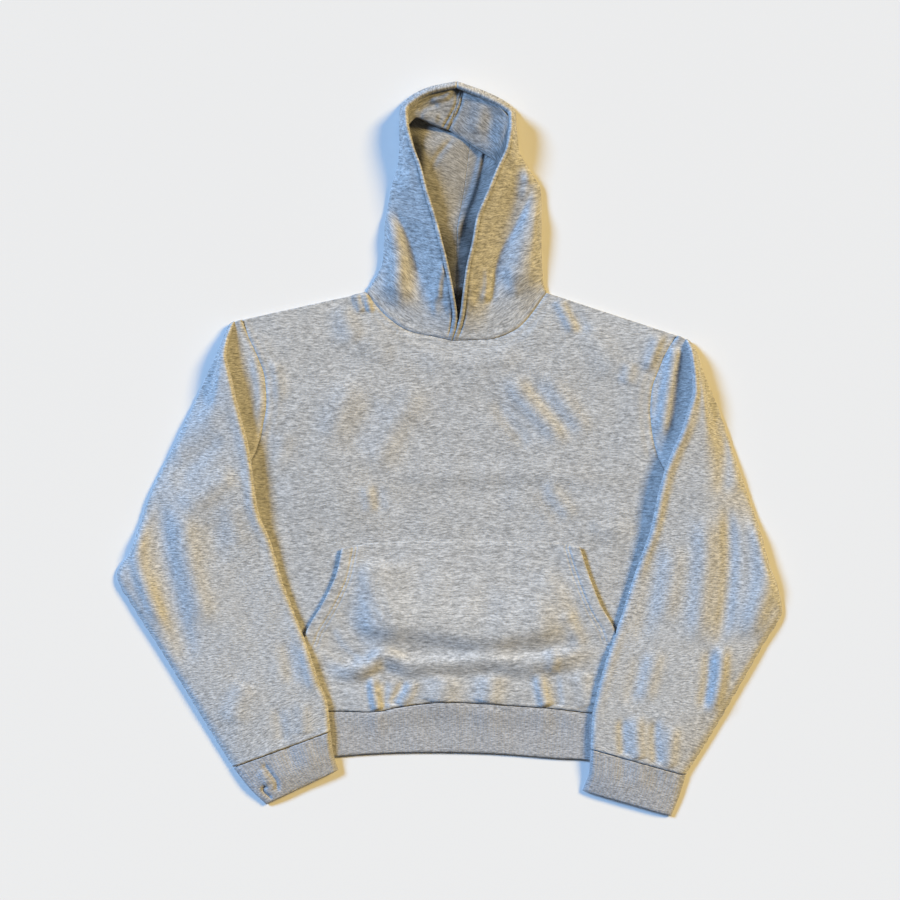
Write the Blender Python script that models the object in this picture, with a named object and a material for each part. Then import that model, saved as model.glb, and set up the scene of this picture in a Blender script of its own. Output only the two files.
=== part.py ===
"""Pullover hoodie lying flat on its back, front up, with its hood open above the neck.

Frame: metres, +Z up off the surface it lies on, +Y towards the hood, +X towards the wearer's left
side. The origin is on the surface, under the middle of the chest.

Every piece is a sheet of cloth: a grid of points on its middle surface, thickened by WALL.
Each grid comes from a short table with a row for each section. Lengths in the tables are in mm.
"""

import math
from collections import namedtuple

import bpy
import numpy as np

MM = 0.001

# Driving dimensions, in mm
WALL = 2.2                 # heavy brushed fleece
SEAM_GAP = 0.3             # between two pieces at a seam, and between two layers
LAYER = WALL + SEAM_GAP    # from one layer's middle to the next one's
BACK_Z = WALL / 2          # middle surface of the layer that lies on the surface
FRONT_Z = BACK_Z + LAYER   # middle surface of the layer on top of it
POCKET_Z = FRONT_Z + LAYER
ON_FRONT_Z = FRONT_Z + WALL + 0.9    # a sleeve's lower layer where it crosses the front
ON_POCKET_Z = POCKET_Z + WALL + 0.9  # and where it crosses the pocket
EDGE_Z = (BACK_Z + FRONT_Z) / 2      # where a flat tube folds from one layer to the other

ACROSS_STEPS = 2           # samples for each span of a section
SHOULDER_SPANS = 4
SIDE_SPANS = 6             # rows of a body panel below the armpit
UNDERARM_REACH = 2.0       # how far outside the armpit the sleeve's underarm turns
CLEAR_OF_EDGE = 8.0        # a layer that lies on the body stays level this far past its edge
STEP_RUN = 26.0            # and comes down to the surface over this run

ARMHOLE_GAP = SEAM_GAP * 1.4
NECK_GAP = SEAM_GAP * 1.5
CROSSED_REACH = 12.0       # a fold this near the armhole seam leaves no valley beside it
FOOT_IN = 7.0              # how far under the fold the layer below it starts to rise
CROSSED_FOOT_IN = 3.0      # and where there is no valley
CROSSED_FOOT_RISE = 2.0
RIDGE_IN = 5.0             # from the fold to the ridge along it
OUTER_ROUND = 11.0         # the outer edge rounds over this much of the upper layer
OUTER_RETURN = 6.0         # and this much of the lower one
CUFF_UNDER_IN = 5.0        # a cuff's edges round over this much of its lower layer
CUFF_OVER_IN = 6.0         # and this much of its upper one

# The body's corners: x, y
RIGHT_HEM = (-224, -319)
LEFT_HEM = (234, -319)
HEM_CURVE = [RIGHT_HEM, (-155, -314), (4, -302), (162, -316), LEFT_HEM]
RIB_CURVE = [(-220, -378), (-140, -367), (4, -362), (158, -372), (229, -384)]
RIGHT_NECK_POINT = (-115, 185)
LEFT_NECK_POINT = (113, 186)

# A sleeve's sections, from the shoulder tip to the cuff. seam is the armhole (below the armpit it is
# unused), fold is the inner edge, outer is the outer edge, ridge is the height along the fold,
# crown is the height halfway across, and lift is the height of the layer under the fold.
SleeveRow = namedtuple("SleeveRow", "seam_x seam_y fold_x fold_y outer_x outer_y ridge crown lift")

RIGHT_SLEEVE = [
    SleeveRow(-258, 156, -267, 154, -273, 150, 9, 8, 4.5),
    SleeveRow(-248, 132, -274, 131, -281, 130, 20, 18, 5),
    SleeveRow(-239, 113, -276, 113, -289, 112, 25, 22, 5),
    SleeveRow(-230, 86, -270, 86, -301, 86, 27, 23, 5),
    SleeveRow(-228, 58, -263, 56, -314, 56, 27, 22.5, 5),
    SleeveRow(-232, 30, -256, 29, -328, 28, 27, 21, 5.5),
    SleeveRow(-240, 2, -249, 1, -341, 0, 26, 20, 7),
    SleeveRow(-252, -22, -245, -26, -355, -28, 25, 19, 9),
    SleeveRow(-270, -46, -241, -56, -370, -60, 24, 18, 8),
    SleeveRow(0, 0, -236, -80, -379, -88, 21, 16, ON_FRONT_Z),
    SleeveRow(0, 0, -224, -108, -392, -122, 17, 14, ON_FRONT_Z),
    SleeveRow(0, 0, -212, -149, -407, -152, 14, 13, ON_FRONT_Z),
    SleeveRow(0, 0, -199, -185, -388, -188, 14, 12.5, ON_FRONT_Z),
    SleeveRow(0, 0, -182, -228, -356, -238, 16, 13, ON_POCKET_Z),
    SleeveRow(0, 0, -167, -272, -320, -296, 17, 14, ON_POCKET_Z),
    SleeveRow(0, 0, -155, -306, -289, -347, 16, 14, ON_POCKET_Z),
    SleeveRow(0, 0, -152, -337, -268, -380, 15, 13, ON_FRONT_Z),
]

LEFT_SLEEVE = [
    SleeveRow(265, 137, 275, 133, 282, 128, 9, 8, 4.5),
    SleeveRow(253, 120, 279, 118, 288, 117, 20, 18, 5),
    SleeveRow(242, 95, 282, 95, 295, 95, 26, 22, 5),
    SleeveRow(234, 72, 283, 71, 305, 71, 28, 23, 5),
    SleeveRow(232, 48, 277, 47, 315, 46, 28, 22.5, 5),
    SleeveRow(234, 24, 269, 22, 324, 19, 27, 21, 5.5),
    SleeveRow(239, 0, 259, -1, 332, -5, 26, 20, 7),
    SleeveRow(251, -25, 248, -29, 342, -34, 25, 19, 9),
    SleeveRow(282, -50, 240, -60, 353, -66, 24, 18, 8),
    SleeveRow(0, 0, 234, -90, 364, -98, 21, 16, ON_FRONT_Z),
    SleeveRow(0, 0, 220, -132, 376, -140, 17, 14, ON_FRONT_Z),
    SleeveRow(0, 0, 208, -166, 386, -168, 14, 13, ON_FRONT_Z),
    SleeveRow(0, 0, 196, -204, 390, -193, 14, 12.5, ON_FRONT_Z),
    SleeveRow(0, 0, 181, -247, 366, -236, 16, 13, ON_POCKET_Z),
    SleeveRow(0, 0, 168, -293, 334, -292, 16, 14, ON_POCKET_Z),
    SleeveRow(0, 0, 162, -326, 302, -346, 15, 14, ON_POCKET_Z),
    SleeveRow(0, 0, 161, -358, 274, -390, 14, 13, ON_FRONT_Z),
]
ARMPIT_ROW = 8             # the first section that is a whole ring

# A cuff's sections, from the sleeve seam to its end
CuffRow = namedtuple("CuffRow", "inner_x inner_y outer_x outer_y height")

RIGHT_CUFF = [
    CuffRow(-152, -338, -267, -381, 9),
    CuffRow(-149, -362, -249, -404, 7),
    CuffRow(-143, -384, -228, -425, 5.5),
]
LEFT_CUFF = [
    CuffRow(161, -359, 274, -391, 9),
    CuffRow(160, -384, 266, -416, 7),
    CuffRow(152, -409, 257, -439, 5.5),
]

# The hood's sections, from the neck seam to the crown. rim is the edge of the face opening, valley and
# bump are on its outer side, side is its outline, and spine is the centre seam on the surface.
HoodRow = namedtuple("HoodRow", "rim_x rim_y rim_z valley_x valley_y valley_z bump_x bump_y bump_z "
                                "side_x side_y spine_y")

RIGHT_HOOD = [
    HoodRow(-5, 131, FRONT_Z, -56, 142, FRONT_Z, -84, 160, FRONT_Z, -109, 189, 167),
    HoodRow(0, 159, 15, -42, 166, 7, -68, 182, 9, -97, 206, 178),
    HoodRow(-4, 188, 27, -43, 194, 8, -66, 212, 12, -88, 227, 194),
    HoodRow(-10, 218, 33, -50, 226, 9, -70, 240, 12, -86, 252, 215),
    HoodRow(-17, 246, 36, -59, 254, 9, -74, 264, 11, -85, 274, 240),
    HoodRow(-25, 276, 37, -66, 282, 12, -76, 286, 8, -82, 290, 265),
    HoodRow(-36, 311, 37, -58, 314, 22, -70, 316, 11, -77, 317, 290),
    HoodRow(-43, 338, 36, -57, 341, 26, -65, 342, 13, -70, 342, 310),
    HoodRow(-53, 364, 30, -60, 364, 25, -65, 364, 12, -68, 364, 328),
    HoodRow(-60, 390, 27, -64, 391, 21, -67, 391, 11, -68, 391, 344),
    HoodRow(-61, 406, 25, -64, 408, 18, -66, 409, 10, -67, 410, 358),
    HoodRow(-52, 417, 24, -54, 420, 15, -55, 422, 9, -56, 423, 369),
    HoodRow(-31, 429, 22.5, -32, 432, 13, -32, 434, 8, -33, 435, 378),
    HoodRow(0, 436, 21.5, 0, 439, 12, 0, 441, 7, 0, 442, 386),
]

LEFT_HOOD = [
    HoodRow(-5, 131, FRONT_Z, 36, 132, FRONT_Z, 72, 145, FRONT_Z, 107, 189, 167),
    HoodRow(4, 159, 15, 40, 166, 7, 74, 184, 9, 103, 203, 178),
    HoodRow(8, 190, 27, 43, 194, 8, 73, 206, 12, 102, 219, 194),
    HoodRow(12, 218, 33, 48, 226, 9, 76, 233, 14, 101, 242, 215),
    HoodRow(19, 248, 36, 56, 252, 8, 80, 258, 14, 101, 264, 240),
    HoodRow(24, 276, 37, 66, 277, 8, 86, 281, 13, 101, 287, 265),
    HoodRow(37, 308, 36, 72, 308, 11, 90, 310, 12, 100, 311, 290),
    HoodRow(48, 335, 34, 68, 335, 18, 79, 335, 13, 87, 335, 310),
    HoodRow(61, 364, 29, 67, 362, 24, 71, 361, 12, 74, 360, 328),
    HoodRow(65, 388, 27, 68, 388, 20, 70, 388, 11, 71, 388, 344),
    HoodRow(65, 401, 25, 67, 402, 17, 69, 403, 10, 70, 404, 358),
    HoodRow(56, 410, 24, 58, 413, 15, 59, 414, 9, 60, 416, 369),
    HoodRow(34, 422, 22.5, 35, 425, 13, 36, 427, 8, 36, 429, 378),
    HoodRow(0, 436, 21.5, 0, 439, 12, 0, 441, 7, 0, 442, 386),
]

# Soft folds: a ridge from start to end, its half width and its height
Fold = namedtuple("Fold", "x0 y0 x1 y1 half_width height")

CHEST_FOLDS = [
    Fold(66, 92, 134, 10, 16, 5.0),
    Fold(-100, -20, -48, 84, 18, 3.0),
    Fold(-90, -26, 140, -30, 16, 2.5),
    Fold(20, 60, 60, -20, 14, 2.0),
]
POCKET_FOLDS = [
    Fold(-112, -252, 140, -251, 11, 3.2),
    Fold(-118, -180, -112, -232, 12, 2.6),
    Fold(-96, -262, -96, -300, 9, 2.6),
    Fold(104, -270, 116, -300, 10, 2.2),
]

# The pocket: each side from the top corner, down the hand opening, to the hem seam
RIGHT_POCKET_SIDE = [(-138, -118), (-145, -150), (-160, -182), (-182, -222), (-184, -262), (-184, -313)]
LEFT_POCKET_SIDE = [(148, -116), (158, -148), (173, -186), (190, -218), (192, -262), (192, -315)]
POCKET_TOP_BOW = 7         # how far the top edge rises between its corners
POCKET_COLUMNS = 14

# Colours, linear RGB
FLEECE_GREY = (0.43, 0.435, 0.44)
INSIDE_GREY = (0.40, 0.40, 0.405)
RIB_GREY = (0.38, 0.385, 0.40)


def smooth_line(points, steps):
    """A smooth curve through points with steps samples for each span, with no overshoot."""
    points = np.asarray(points, dtype=float)
    spans = np.diff(points, axis=0)
    lengths = np.maximum(np.linalg.norm(spans, axis=1), 1e-6)
    slopes = spans / lengths[:, None]
    tangents = np.zeros_like(points)
    tangents[0] = slopes[0]
    tangents[-1] = slopes[-1]
    before, after = slopes[:-1], slopes[1:]
    same_way = before * after > 0
    total = np.where(same_way, before + after, 1.0)
    tangents[1:-1] = np.where(same_way, 2 * before * after / total, 0.0)
    line = []
    for index, length in enumerate(lengths):
        for step in range(steps):
            t = step / steps
            start = (1 + 2 * t) * (1 - t) ** 2
            end = t * t * (3 - 2 * t)
            leave = t * (1 - t) ** 2 * length
            arrive = t * t * (t - 1) * length
            line.append(start * points[index] + end * points[index + 1]
                        + leave * tangents[index] + arrive * tangents[index + 1])
    line.append(points[-1])
    return np.array(line)


def spread(points, count):
    """count + 1 points, evenly spaced along a smooth curve through points."""
    line = smooth_line(points, 12)
    lengths = np.linalg.norm(np.diff(line, axis=0), axis=1)
    along = np.concatenate(([0.0], np.cumsum(lengths)))
    wanted = np.linspace(0.0, along[-1], count + 1)
    return np.stack([np.interp(wanted, along, line[:, axis]) for axis in range(line.shape[1])], axis=1)


def fill_between(top, bottom, left, right):
    """A grid of plan points whose four edges are the given lines."""
    rows, columns = len(left), len(top)
    grid = np.zeros((rows, columns, 2))
    for row in range(rows):
        down = row / (rows - 1)
        for column in range(columns):
            over = column / (columns - 1)
            edges = ((1 - down) * top[column] + down * bottom[column]
                     + (1 - over) * left[row] + over * right[row])
            corners = ((1 - down) * ((1 - over) * top[0] + over * top[-1])
                       + down * ((1 - over) * bottom[0] + over * bottom[-1]))
            grid[row, column] = edges - corners
    return grid


def fold_height(x, y, folds):
    """Height of the soft folds above the flat cloth at a plan point."""
    height = 0.0
    for fold in folds:
        run = np.array([fold.x1 - fold.x0, fold.y1 - fold.y0], dtype=float)
        from_start = np.array([x - fold.x0, y - fold.y0])
        along = float(np.clip(from_start @ run / (run @ run), 0.0, 1.0))
        distance = float(np.linalg.norm(from_start - along * run)) / fold.half_width
        height += fold.height * math.exp(-distance * distance)
    return height


def grid_normals(grid, ring_from):
    """Unit normals of a grid of points. From row ring_from on, the last column meets the first."""
    down = np.gradient(grid, axis=0)
    over = np.gradient(grid, axis=1)
    if ring_from is not None:
        joined = (grid[ring_from:, 1] - grid[ring_from:, -2]) / 2
        over[ring_from:, 0] = joined
        over[ring_from:, -1] = joined
    normals = np.cross(over, down)
    lengths = np.linalg.norm(normals, axis=2, keepdims=True)
    return normals / np.maximum(lengths, 1e-9)


def thicken(grid, ring_from=None, upright_columns=(), upright_rows=(), centre_row=None):
    """The two skins of a sheet, WALL apart. Upright edges stay square to the surface below,
    and a centre row stays in the plane between the left and right halves."""
    normals = grid_normals(grid, ring_from)
    up = np.zeros(3)
    up[2] = 1.0
    for column in upright_columns:
        rows = len(grid) if ring_from is None else ring_from
        normals[:rows, column] = np.sign(normals[:rows, column, 2:3]) * up
    for row in upright_rows:
        normals[row] = np.where(np.abs(normals[row, :, 2:3]) > 0.5,
                                np.sign(normals[row, :, 2:3]) * up, normals[row])
    if centre_row is not None:
        normals[centre_row, :, 0] = 0.0
        normals[centre_row] /= np.linalg.norm(normals[centre_row], axis=1, keepdims=True)
    outside = grid + normals * WALL / 2
    inside = grid - normals * WALL / 2
    for skin in (outside, inside):
        skin[..., 2] = np.maximum(skin[..., 2], 0.0)
    return outside, inside


def make_object(name, vertices, faces, material):
    """A mesh object, in metres, from points in mm."""
    mesh = bpy.data.meshes.new(name)
    mesh.from_pydata([tuple(np.asarray(v) * MM) for v in vertices], [], faces)
    mesh.validate()
    mesh.update()
    mesh.materials.append(material)
    mesh.shade_smooth()
    mesh.set_sharp_from_angle(angle=math.radians(40))
    piece = bpy.data.objects.new(name, mesh)
    bpy.context.scene.collection.objects.link(piece)
    return piece


def sheet_object(name, grid, material, ring_from=None, **edges):
    """A closed solid from a sheet's grid: two skins and a wall round each free edge."""
    outside, inside = thicken(grid, ring_from, **edges)
    rows, columns = grid.shape[:2]
    count = rows * columns
    vertices = np.concatenate((outside.reshape(-1, 3), inside.reshape(-1, 3)))

    def corner(row, column):
        if ring_from is not None and row >= ring_from and column == columns - 1:
            column = 0
        return row * columns + column

    skin = []
    for row in range(rows - 1):
        for column in range(columns - 1):
            quad = (corner(row, column), corner(row, column + 1),
                    corner(row + 1, column + 1), corner(row + 1, column))
            skin.append(tuple(dict.fromkeys(quad)))
    sides = {}
    for face in skin:
        for a, b in zip(face, face[1:] + face[:1]):
            sides[(a, b)] = sides.get((a, b), 0) + 1
    free = [side for side in sides if (side[1], side[0]) not in sides]
    faces = list(skin)
    faces += [tuple(index + count for index in face[::-1]) for face in skin]
    faces += [(b, a, a + count, b + count) for a, b in free]
    used = sorted({index for face in faces for index in face})
    place = {index: position for position, index in enumerate(used)}
    faces = [tuple(place[index] for index in face) for face in faces]
    return make_object(name, vertices[used], faces, material)


def plan_point(start, end, share):
    """A plan point part of the way from start to end."""
    return (start[0] + (end[0] - start[0]) * share, start[1] + (end[1] - start[1]) * share)


def side_x(y, armpit, hem):
    """x of a side seam at a height y."""
    share = (y - armpit[1]) / (hem[1] - armpit[1])
    return armpit[0] + (hem[0] - armpit[0]) * min(max(share, 0.0), 1.0)


def sleeve_section(row, index, armpit, hem, outward):
    """Control points of one section: armhole, under the fold, over the top and back on the surface."""
    seam = (row.seam_x + outward * ARMHOLE_GAP, row.seam_y)
    fold = (row.fold_x, row.fold_y)
    outer = (row.outer_x, row.outer_y)
    width = math.dist(fold, outer)
    crosses = (row.fold_x - row.seam_x) * outward < CROSSED_REACH
    if index >= ARMPIT_ROW:
        share = abs(row.fold_x - side_x(row.fold_y, armpit, hem)) / abs(row.fold_x - row.outer_x)
        turn = plan_point(fold, outer, share)
        if index == ARMPIT_ROW:
            turn = (armpit[0] + outward * UNDERARM_REACH, armpit[1] + 1)
        start = (*turn, ON_FRONT_Z)
        end = start
        valley = (*plan_point(turn, fold, 0.5), row.lift)
        foot = (*plan_point(fold, outer, FOOT_IN / width), row.lift)
        floor_start = plan_point(fold, outer, min(share + STEP_RUN / width, 0.85))
    elif crosses:
        start = (*seam, ON_FRONT_Z)
        end = (*seam, BACK_Z)
        valley = (seam[0] + outward * 0.5, seam[1], ON_FRONT_Z + 1)
        foot = (*plan_point(fold, outer, CROSSED_FOOT_IN / width), row.lift + CROSSED_FOOT_RISE)
        floor_start = seam
    else:
        start = (*seam, FRONT_Z)
        end = (*seam, BACK_Z)
        valley = (*plan_point(seam, fold, 0.45), row.lift)
        foot = (*plan_point(fold, seam, 0.3), row.lift + row.ridge * 0.12)
        floor_start = seam
    points = [
        start,
        valley,
        foot,
        (*fold, (row.lift + row.ridge) / 2),
        (*plan_point(fold, outer, min(RIDGE_IN / width, 0.35)), row.ridge),
        (*plan_point(fold, outer, 0.5), row.crown),
        (*plan_point(outer, fold, min(OUTER_ROUND / width, 0.3)), row.crown * 0.6),
        (*outer, row.crown * 0.2 + BACK_Z),
        (*plan_point(outer, fold, min(OUTER_RETURN / width, 0.3)), BACK_Z),
        (*plan_point(outer, floor_start, 0.6), BACK_Z),
        (*plan_point(outer, floor_start, 0.96), BACK_Z),
        end,
    ]
    return smooth_line(points, ACROSS_STEPS)


def build_sleeve(name, table, hem, outward, material):
    armpit = (table[ARMPIT_ROW].seam_x, table[ARMPIT_ROW].seam_y)
    grid = np.array([sleeve_section(row, index, armpit, hem, outward) for index, row in enumerate(table)])
    return sheet_object(name, grid, material, ring_from=ARMPIT_ROW, upright_columns=(0, -1))


def layer_under(x, y):
    """Height of a layer that lies on the body, or comes down beside it to the surface."""
    rib_end = spread(RIB_CURVE, 8)
    past_side = max(RIGHT_HEM[0] - x, x - LEFT_HEM[0])
    past_end = float(np.interp(x, rib_end[:, 0], rib_end[:, 1])) - y
    past = (max(past_side, past_end) - CLEAR_OF_EDGE) / STEP_RUN
    drop = min(max(past, 0.0), 1.0)
    drop = drop * drop * (3 - 2 * drop)
    return ON_FRONT_Z + (BACK_Z - ON_FRONT_Z) * drop


def cuff_section(row):
    """A flat ring, which rests partly on the hem rib and partly on the surface."""
    inner = (row.inner_x, row.inner_y)
    outer = (row.outer_x, row.outer_y)
    width = math.dist(inner, outer)
    edge = CUFF_UNDER_IN / width
    shares = [edge, 0.25, 0.45, 0.65, 0.82, 1 - edge]
    under = []
    for share in shares:
        place = plan_point(inner, outer, share)
        under.append((*place, layer_under(*place)))
    over = []
    edge = CUFF_OVER_IN / width
    rises = ((1 - edge, 0.75), (0.75, 1.0), (0.5, 1.0), (0.25, 1.0), (edge, 0.75))
    for share, rise in rises:
        place = plan_point(inner, outer, share)
        over.append((*place, layer_under(*place) + row.height * rise))
    outer_z = (under[-1][2] + over[0][2]) / 2
    inner_z = (under[0][2] + over[-1][2]) / 2
    points = [(*inner, inner_z)] + under + [(*outer, outer_z)] + over + [(*inner, inner_z)]
    return smooth_line(points, 1)


def build_cuff(name, table, material):
    grid = np.array([cuff_section(row) for row in table])
    return sheet_object(name, grid, material, ring_from=0)


def hood_section(row, index, lean):
    """Control points of one section: rim, over the outer side, and back on the surface to the spine."""
    side_z = FRONT_Z if index == 0 else row.bump_z * 0.35 + BACK_Z
    spine = (lean * SEAM_GAP / 2, row.spine_y + SEAM_GAP)
    side = (row.side_x, row.side_y)
    valley = (row.valley_x, row.valley_y)
    rim = (row.rim_x, row.rim_y)
    points = [
        (*rim, row.rim_z),
        (*plan_point(rim, valley, 0.35), row.valley_z + (row.rim_z - row.valley_z) * 0.62),
        (*valley, row.valley_z),
        (row.bump_x, row.bump_y, row.bump_z),
        (*side, side_z),
        (*plan_point(side, spine, 0.06), BACK_Z),
        (*plan_point(side, spine, 0.5), BACK_Z),
        (*spine, BACK_Z),
    ]
    line = smooth_line(points, ACROSS_STEPS)
    line[:, 0] += lean * SEAM_GAP / 2
    line[:, 1] += NECK_GAP if index == 0 else 0.0
    return line


def build_hood(name, table, lean, material):
    grid = np.array([hood_section(row, index, lean) for index, row in enumerate(table)])
    return sheet_object(name, grid, material, upright_rows=(0,), upright_columns=(-1,), centre_row=-1)


def neck_line(table, lean, upper):
    """The neck seam as the hood's first section has it, from the centre out to near the neck point."""
    line = hood_section(table[0], 0, lean)[:, :2]
    line[:, 1] -= NECK_GAP
    line[:, 0] -= lean * SEAM_GAP / 2
    side = 4 * ACROSS_STEPS
    if upper:
        return line[:side]
    return line[:side + 1:-1]


def body_edges(upper):
    """Top, bottom, right-side and left-side edges of a body panel."""
    right_neck = neck_line(RIGHT_HOOD, -1, upper)
    left_neck = neck_line(LEFT_HOOD, 1, upper)
    right_tip = (RIGHT_SLEEVE[0].seam_x, RIGHT_SLEEVE[0].seam_y)
    left_tip = (LEFT_SLEEVE[0].seam_x, LEFT_SLEEVE[0].seam_y)
    right_shoulder = spread([right_tip, RIGHT_NECK_POINT], SHOULDER_SPANS)
    left_shoulder = spread([LEFT_NECK_POINT, left_tip], SHOULDER_SPANS)
    top = np.concatenate((right_shoulder, right_neck[::-1], left_neck[1:], left_shoulder))
    bottom = spread(HEM_CURVE, len(top) - 1)
    sides = []
    for table, hem in ((RIGHT_SLEEVE, RIGHT_HEM), (LEFT_SLEEVE, LEFT_HEM)):
        armhole = np.array([(row.seam_x, row.seam_y) for row in table[:ARMPIT_ROW + 1]], dtype=float)
        side = spread([armhole[-1], hem], SIDE_SPANS)
        sides.append(np.concatenate((armhole, side[1:])))
    return top, bottom, sides[0], sides[1]


def build_panel(name, upper, material):
    plan = fill_between(*body_edges(upper))
    grid = np.zeros(plan.shape[:2] + (3,))
    grid[..., :2] = plan
    grid[..., 2] = BACK_Z
    if upper:
        for row in range(plan.shape[0]):
            for column in range(plan.shape[1]):
                x, y = plan[row, column]
                grid[row, column, 2] = FRONT_Z + fold_height(x, y, CHEST_FOLDS)
        grid[0, :, 2] = FRONT_Z
        grid[:, 0, 2] = FRONT_Z
        grid[:, -1, 2] = FRONT_Z
    return sheet_object(name, grid, material, upright_columns=(0, -1), upright_rows=(0, -1))


def build_pocket(material):
    rows = 2 * (len(RIGHT_POCKET_SIDE) - 1)
    right = spread(RIGHT_POCKET_SIDE, rows)
    left = spread(LEFT_POCKET_SIDE, rows)
    middle = ((right[0] + left[0]) / 2) + (0, POCKET_TOP_BOW)
    top = spread([right[0], middle, left[0]], POCKET_COLUMNS)
    hem = spread(HEM_CURVE, 60)
    bottom_x = np.linspace(right[-1][0], left[-1][0], POCKET_COLUMNS + 1)
    bottom_y = np.interp(bottom_x, hem[:, 0], hem[:, 1]) + 1.0
    bottom = np.stack((bottom_x, bottom_y), axis=1)
    right[-1] = bottom[0]
    left[-1] = bottom[-1]
    plan = fill_between(top, bottom, right, left)
    grid = np.zeros(plan.shape[:2] + (3,))
    grid[..., :2] = plan
    for row in range(plan.shape[0]):
        for column in range(plan.shape[1]):
            x, y = plan[row, column]
            grid[row, column, 2] = POCKET_Z + 0.1 + fold_height(x, y, POCKET_FOLDS)
    return sheet_object("pocket", grid, material, upright_columns=(0, -1), upright_rows=(0, -1))


def build_hem_rib(material):
    seam = body_edges(True)[1] - (0, SEAM_GAP)
    end = spread(RIB_CURVE, len(seam) - 1)
    rows = []
    for share in (0.0, 0.5, 1.0):
        line = seam * (1 - share) + end * share
        upper = np.column_stack((line, np.full(len(line), FRONT_Z)))
        lower = np.column_stack((line[::-1], np.full(len(line), BACK_Z)))
        left_edge = np.array([[line[-1][0] + LAYER / 2, line[-1][1], EDGE_Z]])
        right_edge = np.array([[line[0][0] - LAYER / 2, line[0][1], EDGE_Z]])
        rows.append(np.concatenate((right_edge, upper, left_edge, lower, right_edge)))
    return sheet_object("hem_rib", np.array(rows), material, ring_from=0, upright_rows=(0, -1))


def cloth_material(name, colour, roughness):
    material = bpy.data.materials.new(name)
    material.use_nodes = True
    shader = material.node_tree.nodes["Principled BSDF"]
    shader.inputs["Base Color"].default_value = (*colour, 1.0)
    shader.inputs["Roughness"].default_value = roughness
    shader.inputs["Metallic"].default_value = 0.0
    return material


def clear_scene():
    for thing in list(bpy.data.objects):
        bpy.data.objects.remove(thing, do_unlink=True)


def build_hoodie():
    clear_scene()
    build_panel("back_panel", False, cloth_material("back fleece", FLEECE_GREY, 0.95))
    build_panel("front_panel", True, cloth_material("front fleece", FLEECE_GREY, 0.95))
    build_pocket(cloth_material("pocket fleece", FLEECE_GREY, 0.95))
    build_hem_rib(cloth_material("hem rib", RIB_GREY, 0.9))
    build_sleeve("sleeve_right", RIGHT_SLEEVE, RIGHT_HEM, -1,
                 cloth_material("right sleeve fleece", FLEECE_GREY, 0.95))
    build_sleeve("sleeve_left", LEFT_SLEEVE, LEFT_HEM, 1,
                 cloth_material("left sleeve fleece", FLEECE_GREY, 0.95))
    build_cuff("cuff_right", RIGHT_CUFF, cloth_material("right cuff rib", RIB_GREY, 0.9))
    build_cuff("cuff_left", LEFT_CUFF, cloth_material("left cuff rib", RIB_GREY, 0.9))
    build_hood("hood_right", RIGHT_HOOD, -1, cloth_material("right hood fleece", INSIDE_GREY, 0.95))
    build_hood("hood_left", LEFT_HOOD, 1, cloth_material("left hood fleece", INSIDE_GREY, 0.95))


build_hoodie()
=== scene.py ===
"""Looks of the pullover hoodie lying flat. Lengths in the tables are in mm, in the part's own frame."""
import math
from collections import namedtuple

import bpy
import numpy as np
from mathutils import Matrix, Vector
from mathutils.bvhtree import BVHTree


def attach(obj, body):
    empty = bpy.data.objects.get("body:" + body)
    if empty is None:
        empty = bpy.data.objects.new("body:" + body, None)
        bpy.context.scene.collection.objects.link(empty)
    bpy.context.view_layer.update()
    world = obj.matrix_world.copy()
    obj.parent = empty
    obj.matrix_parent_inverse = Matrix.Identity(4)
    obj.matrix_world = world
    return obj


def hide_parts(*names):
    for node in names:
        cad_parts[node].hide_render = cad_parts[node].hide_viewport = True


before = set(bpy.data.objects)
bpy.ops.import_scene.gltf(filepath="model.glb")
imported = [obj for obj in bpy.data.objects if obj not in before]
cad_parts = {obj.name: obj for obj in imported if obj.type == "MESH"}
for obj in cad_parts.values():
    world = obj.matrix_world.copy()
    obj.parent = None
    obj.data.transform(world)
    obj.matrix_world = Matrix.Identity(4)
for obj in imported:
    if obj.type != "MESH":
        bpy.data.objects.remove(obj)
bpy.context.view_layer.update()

MM = 0.001

# Sizes of the cloth, in mm
WALL = 2.2
SEAM_GAP = 0.3
LAYER = WALL + SEAM_GAP
BACK_Z = WALL / 2
FRONT_Z = BACK_Z + LAYER
ON_FRONT_Z = FRONT_Z + WALL + 0.9
ON_POCKET_Z = FRONT_Z + LAYER + WALL + 0.9
EDGE_Z = (BACK_Z + FRONT_Z) / 2
UNDERARM_REACH = 2.0
CLEAR_OF_EDGE = 8.0
STEP_RUN = 26.0
OFF_FLOOR = 0.02
# Thickness of the visible cloth, and what is left of it towards a rounded edge
CLOTH = 2.0
ROUND_SHARES = (0.35, 0.72, 0.92)
# Row of a sleeve's table at the armpit
ARMPIT_ROW = 8
# Cells along and down the grids of the flat pieces
FRONT_CELLS = 190
BACK_CELLS = 130
POCKET_COLUMNS = 150
POCKET_ROWS = 120
HEM_COLUMNS = 430

RIGHT_HEM = (-224, -319)
LEFT_HEM = (234, -319)
HEM_CURVE = [RIGHT_HEM, (-155, -314), (-98, -314.5), (-70, -309), (-14, -303), (64, -307), (118, -311),
             (162, -316), LEFT_HEM]
RIB_CURVE = [(-220, -378), (-140, -367), (-58, -362.5), (36, -363.5), (118, -369.5), (158, -372), (229, -384)]

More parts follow.
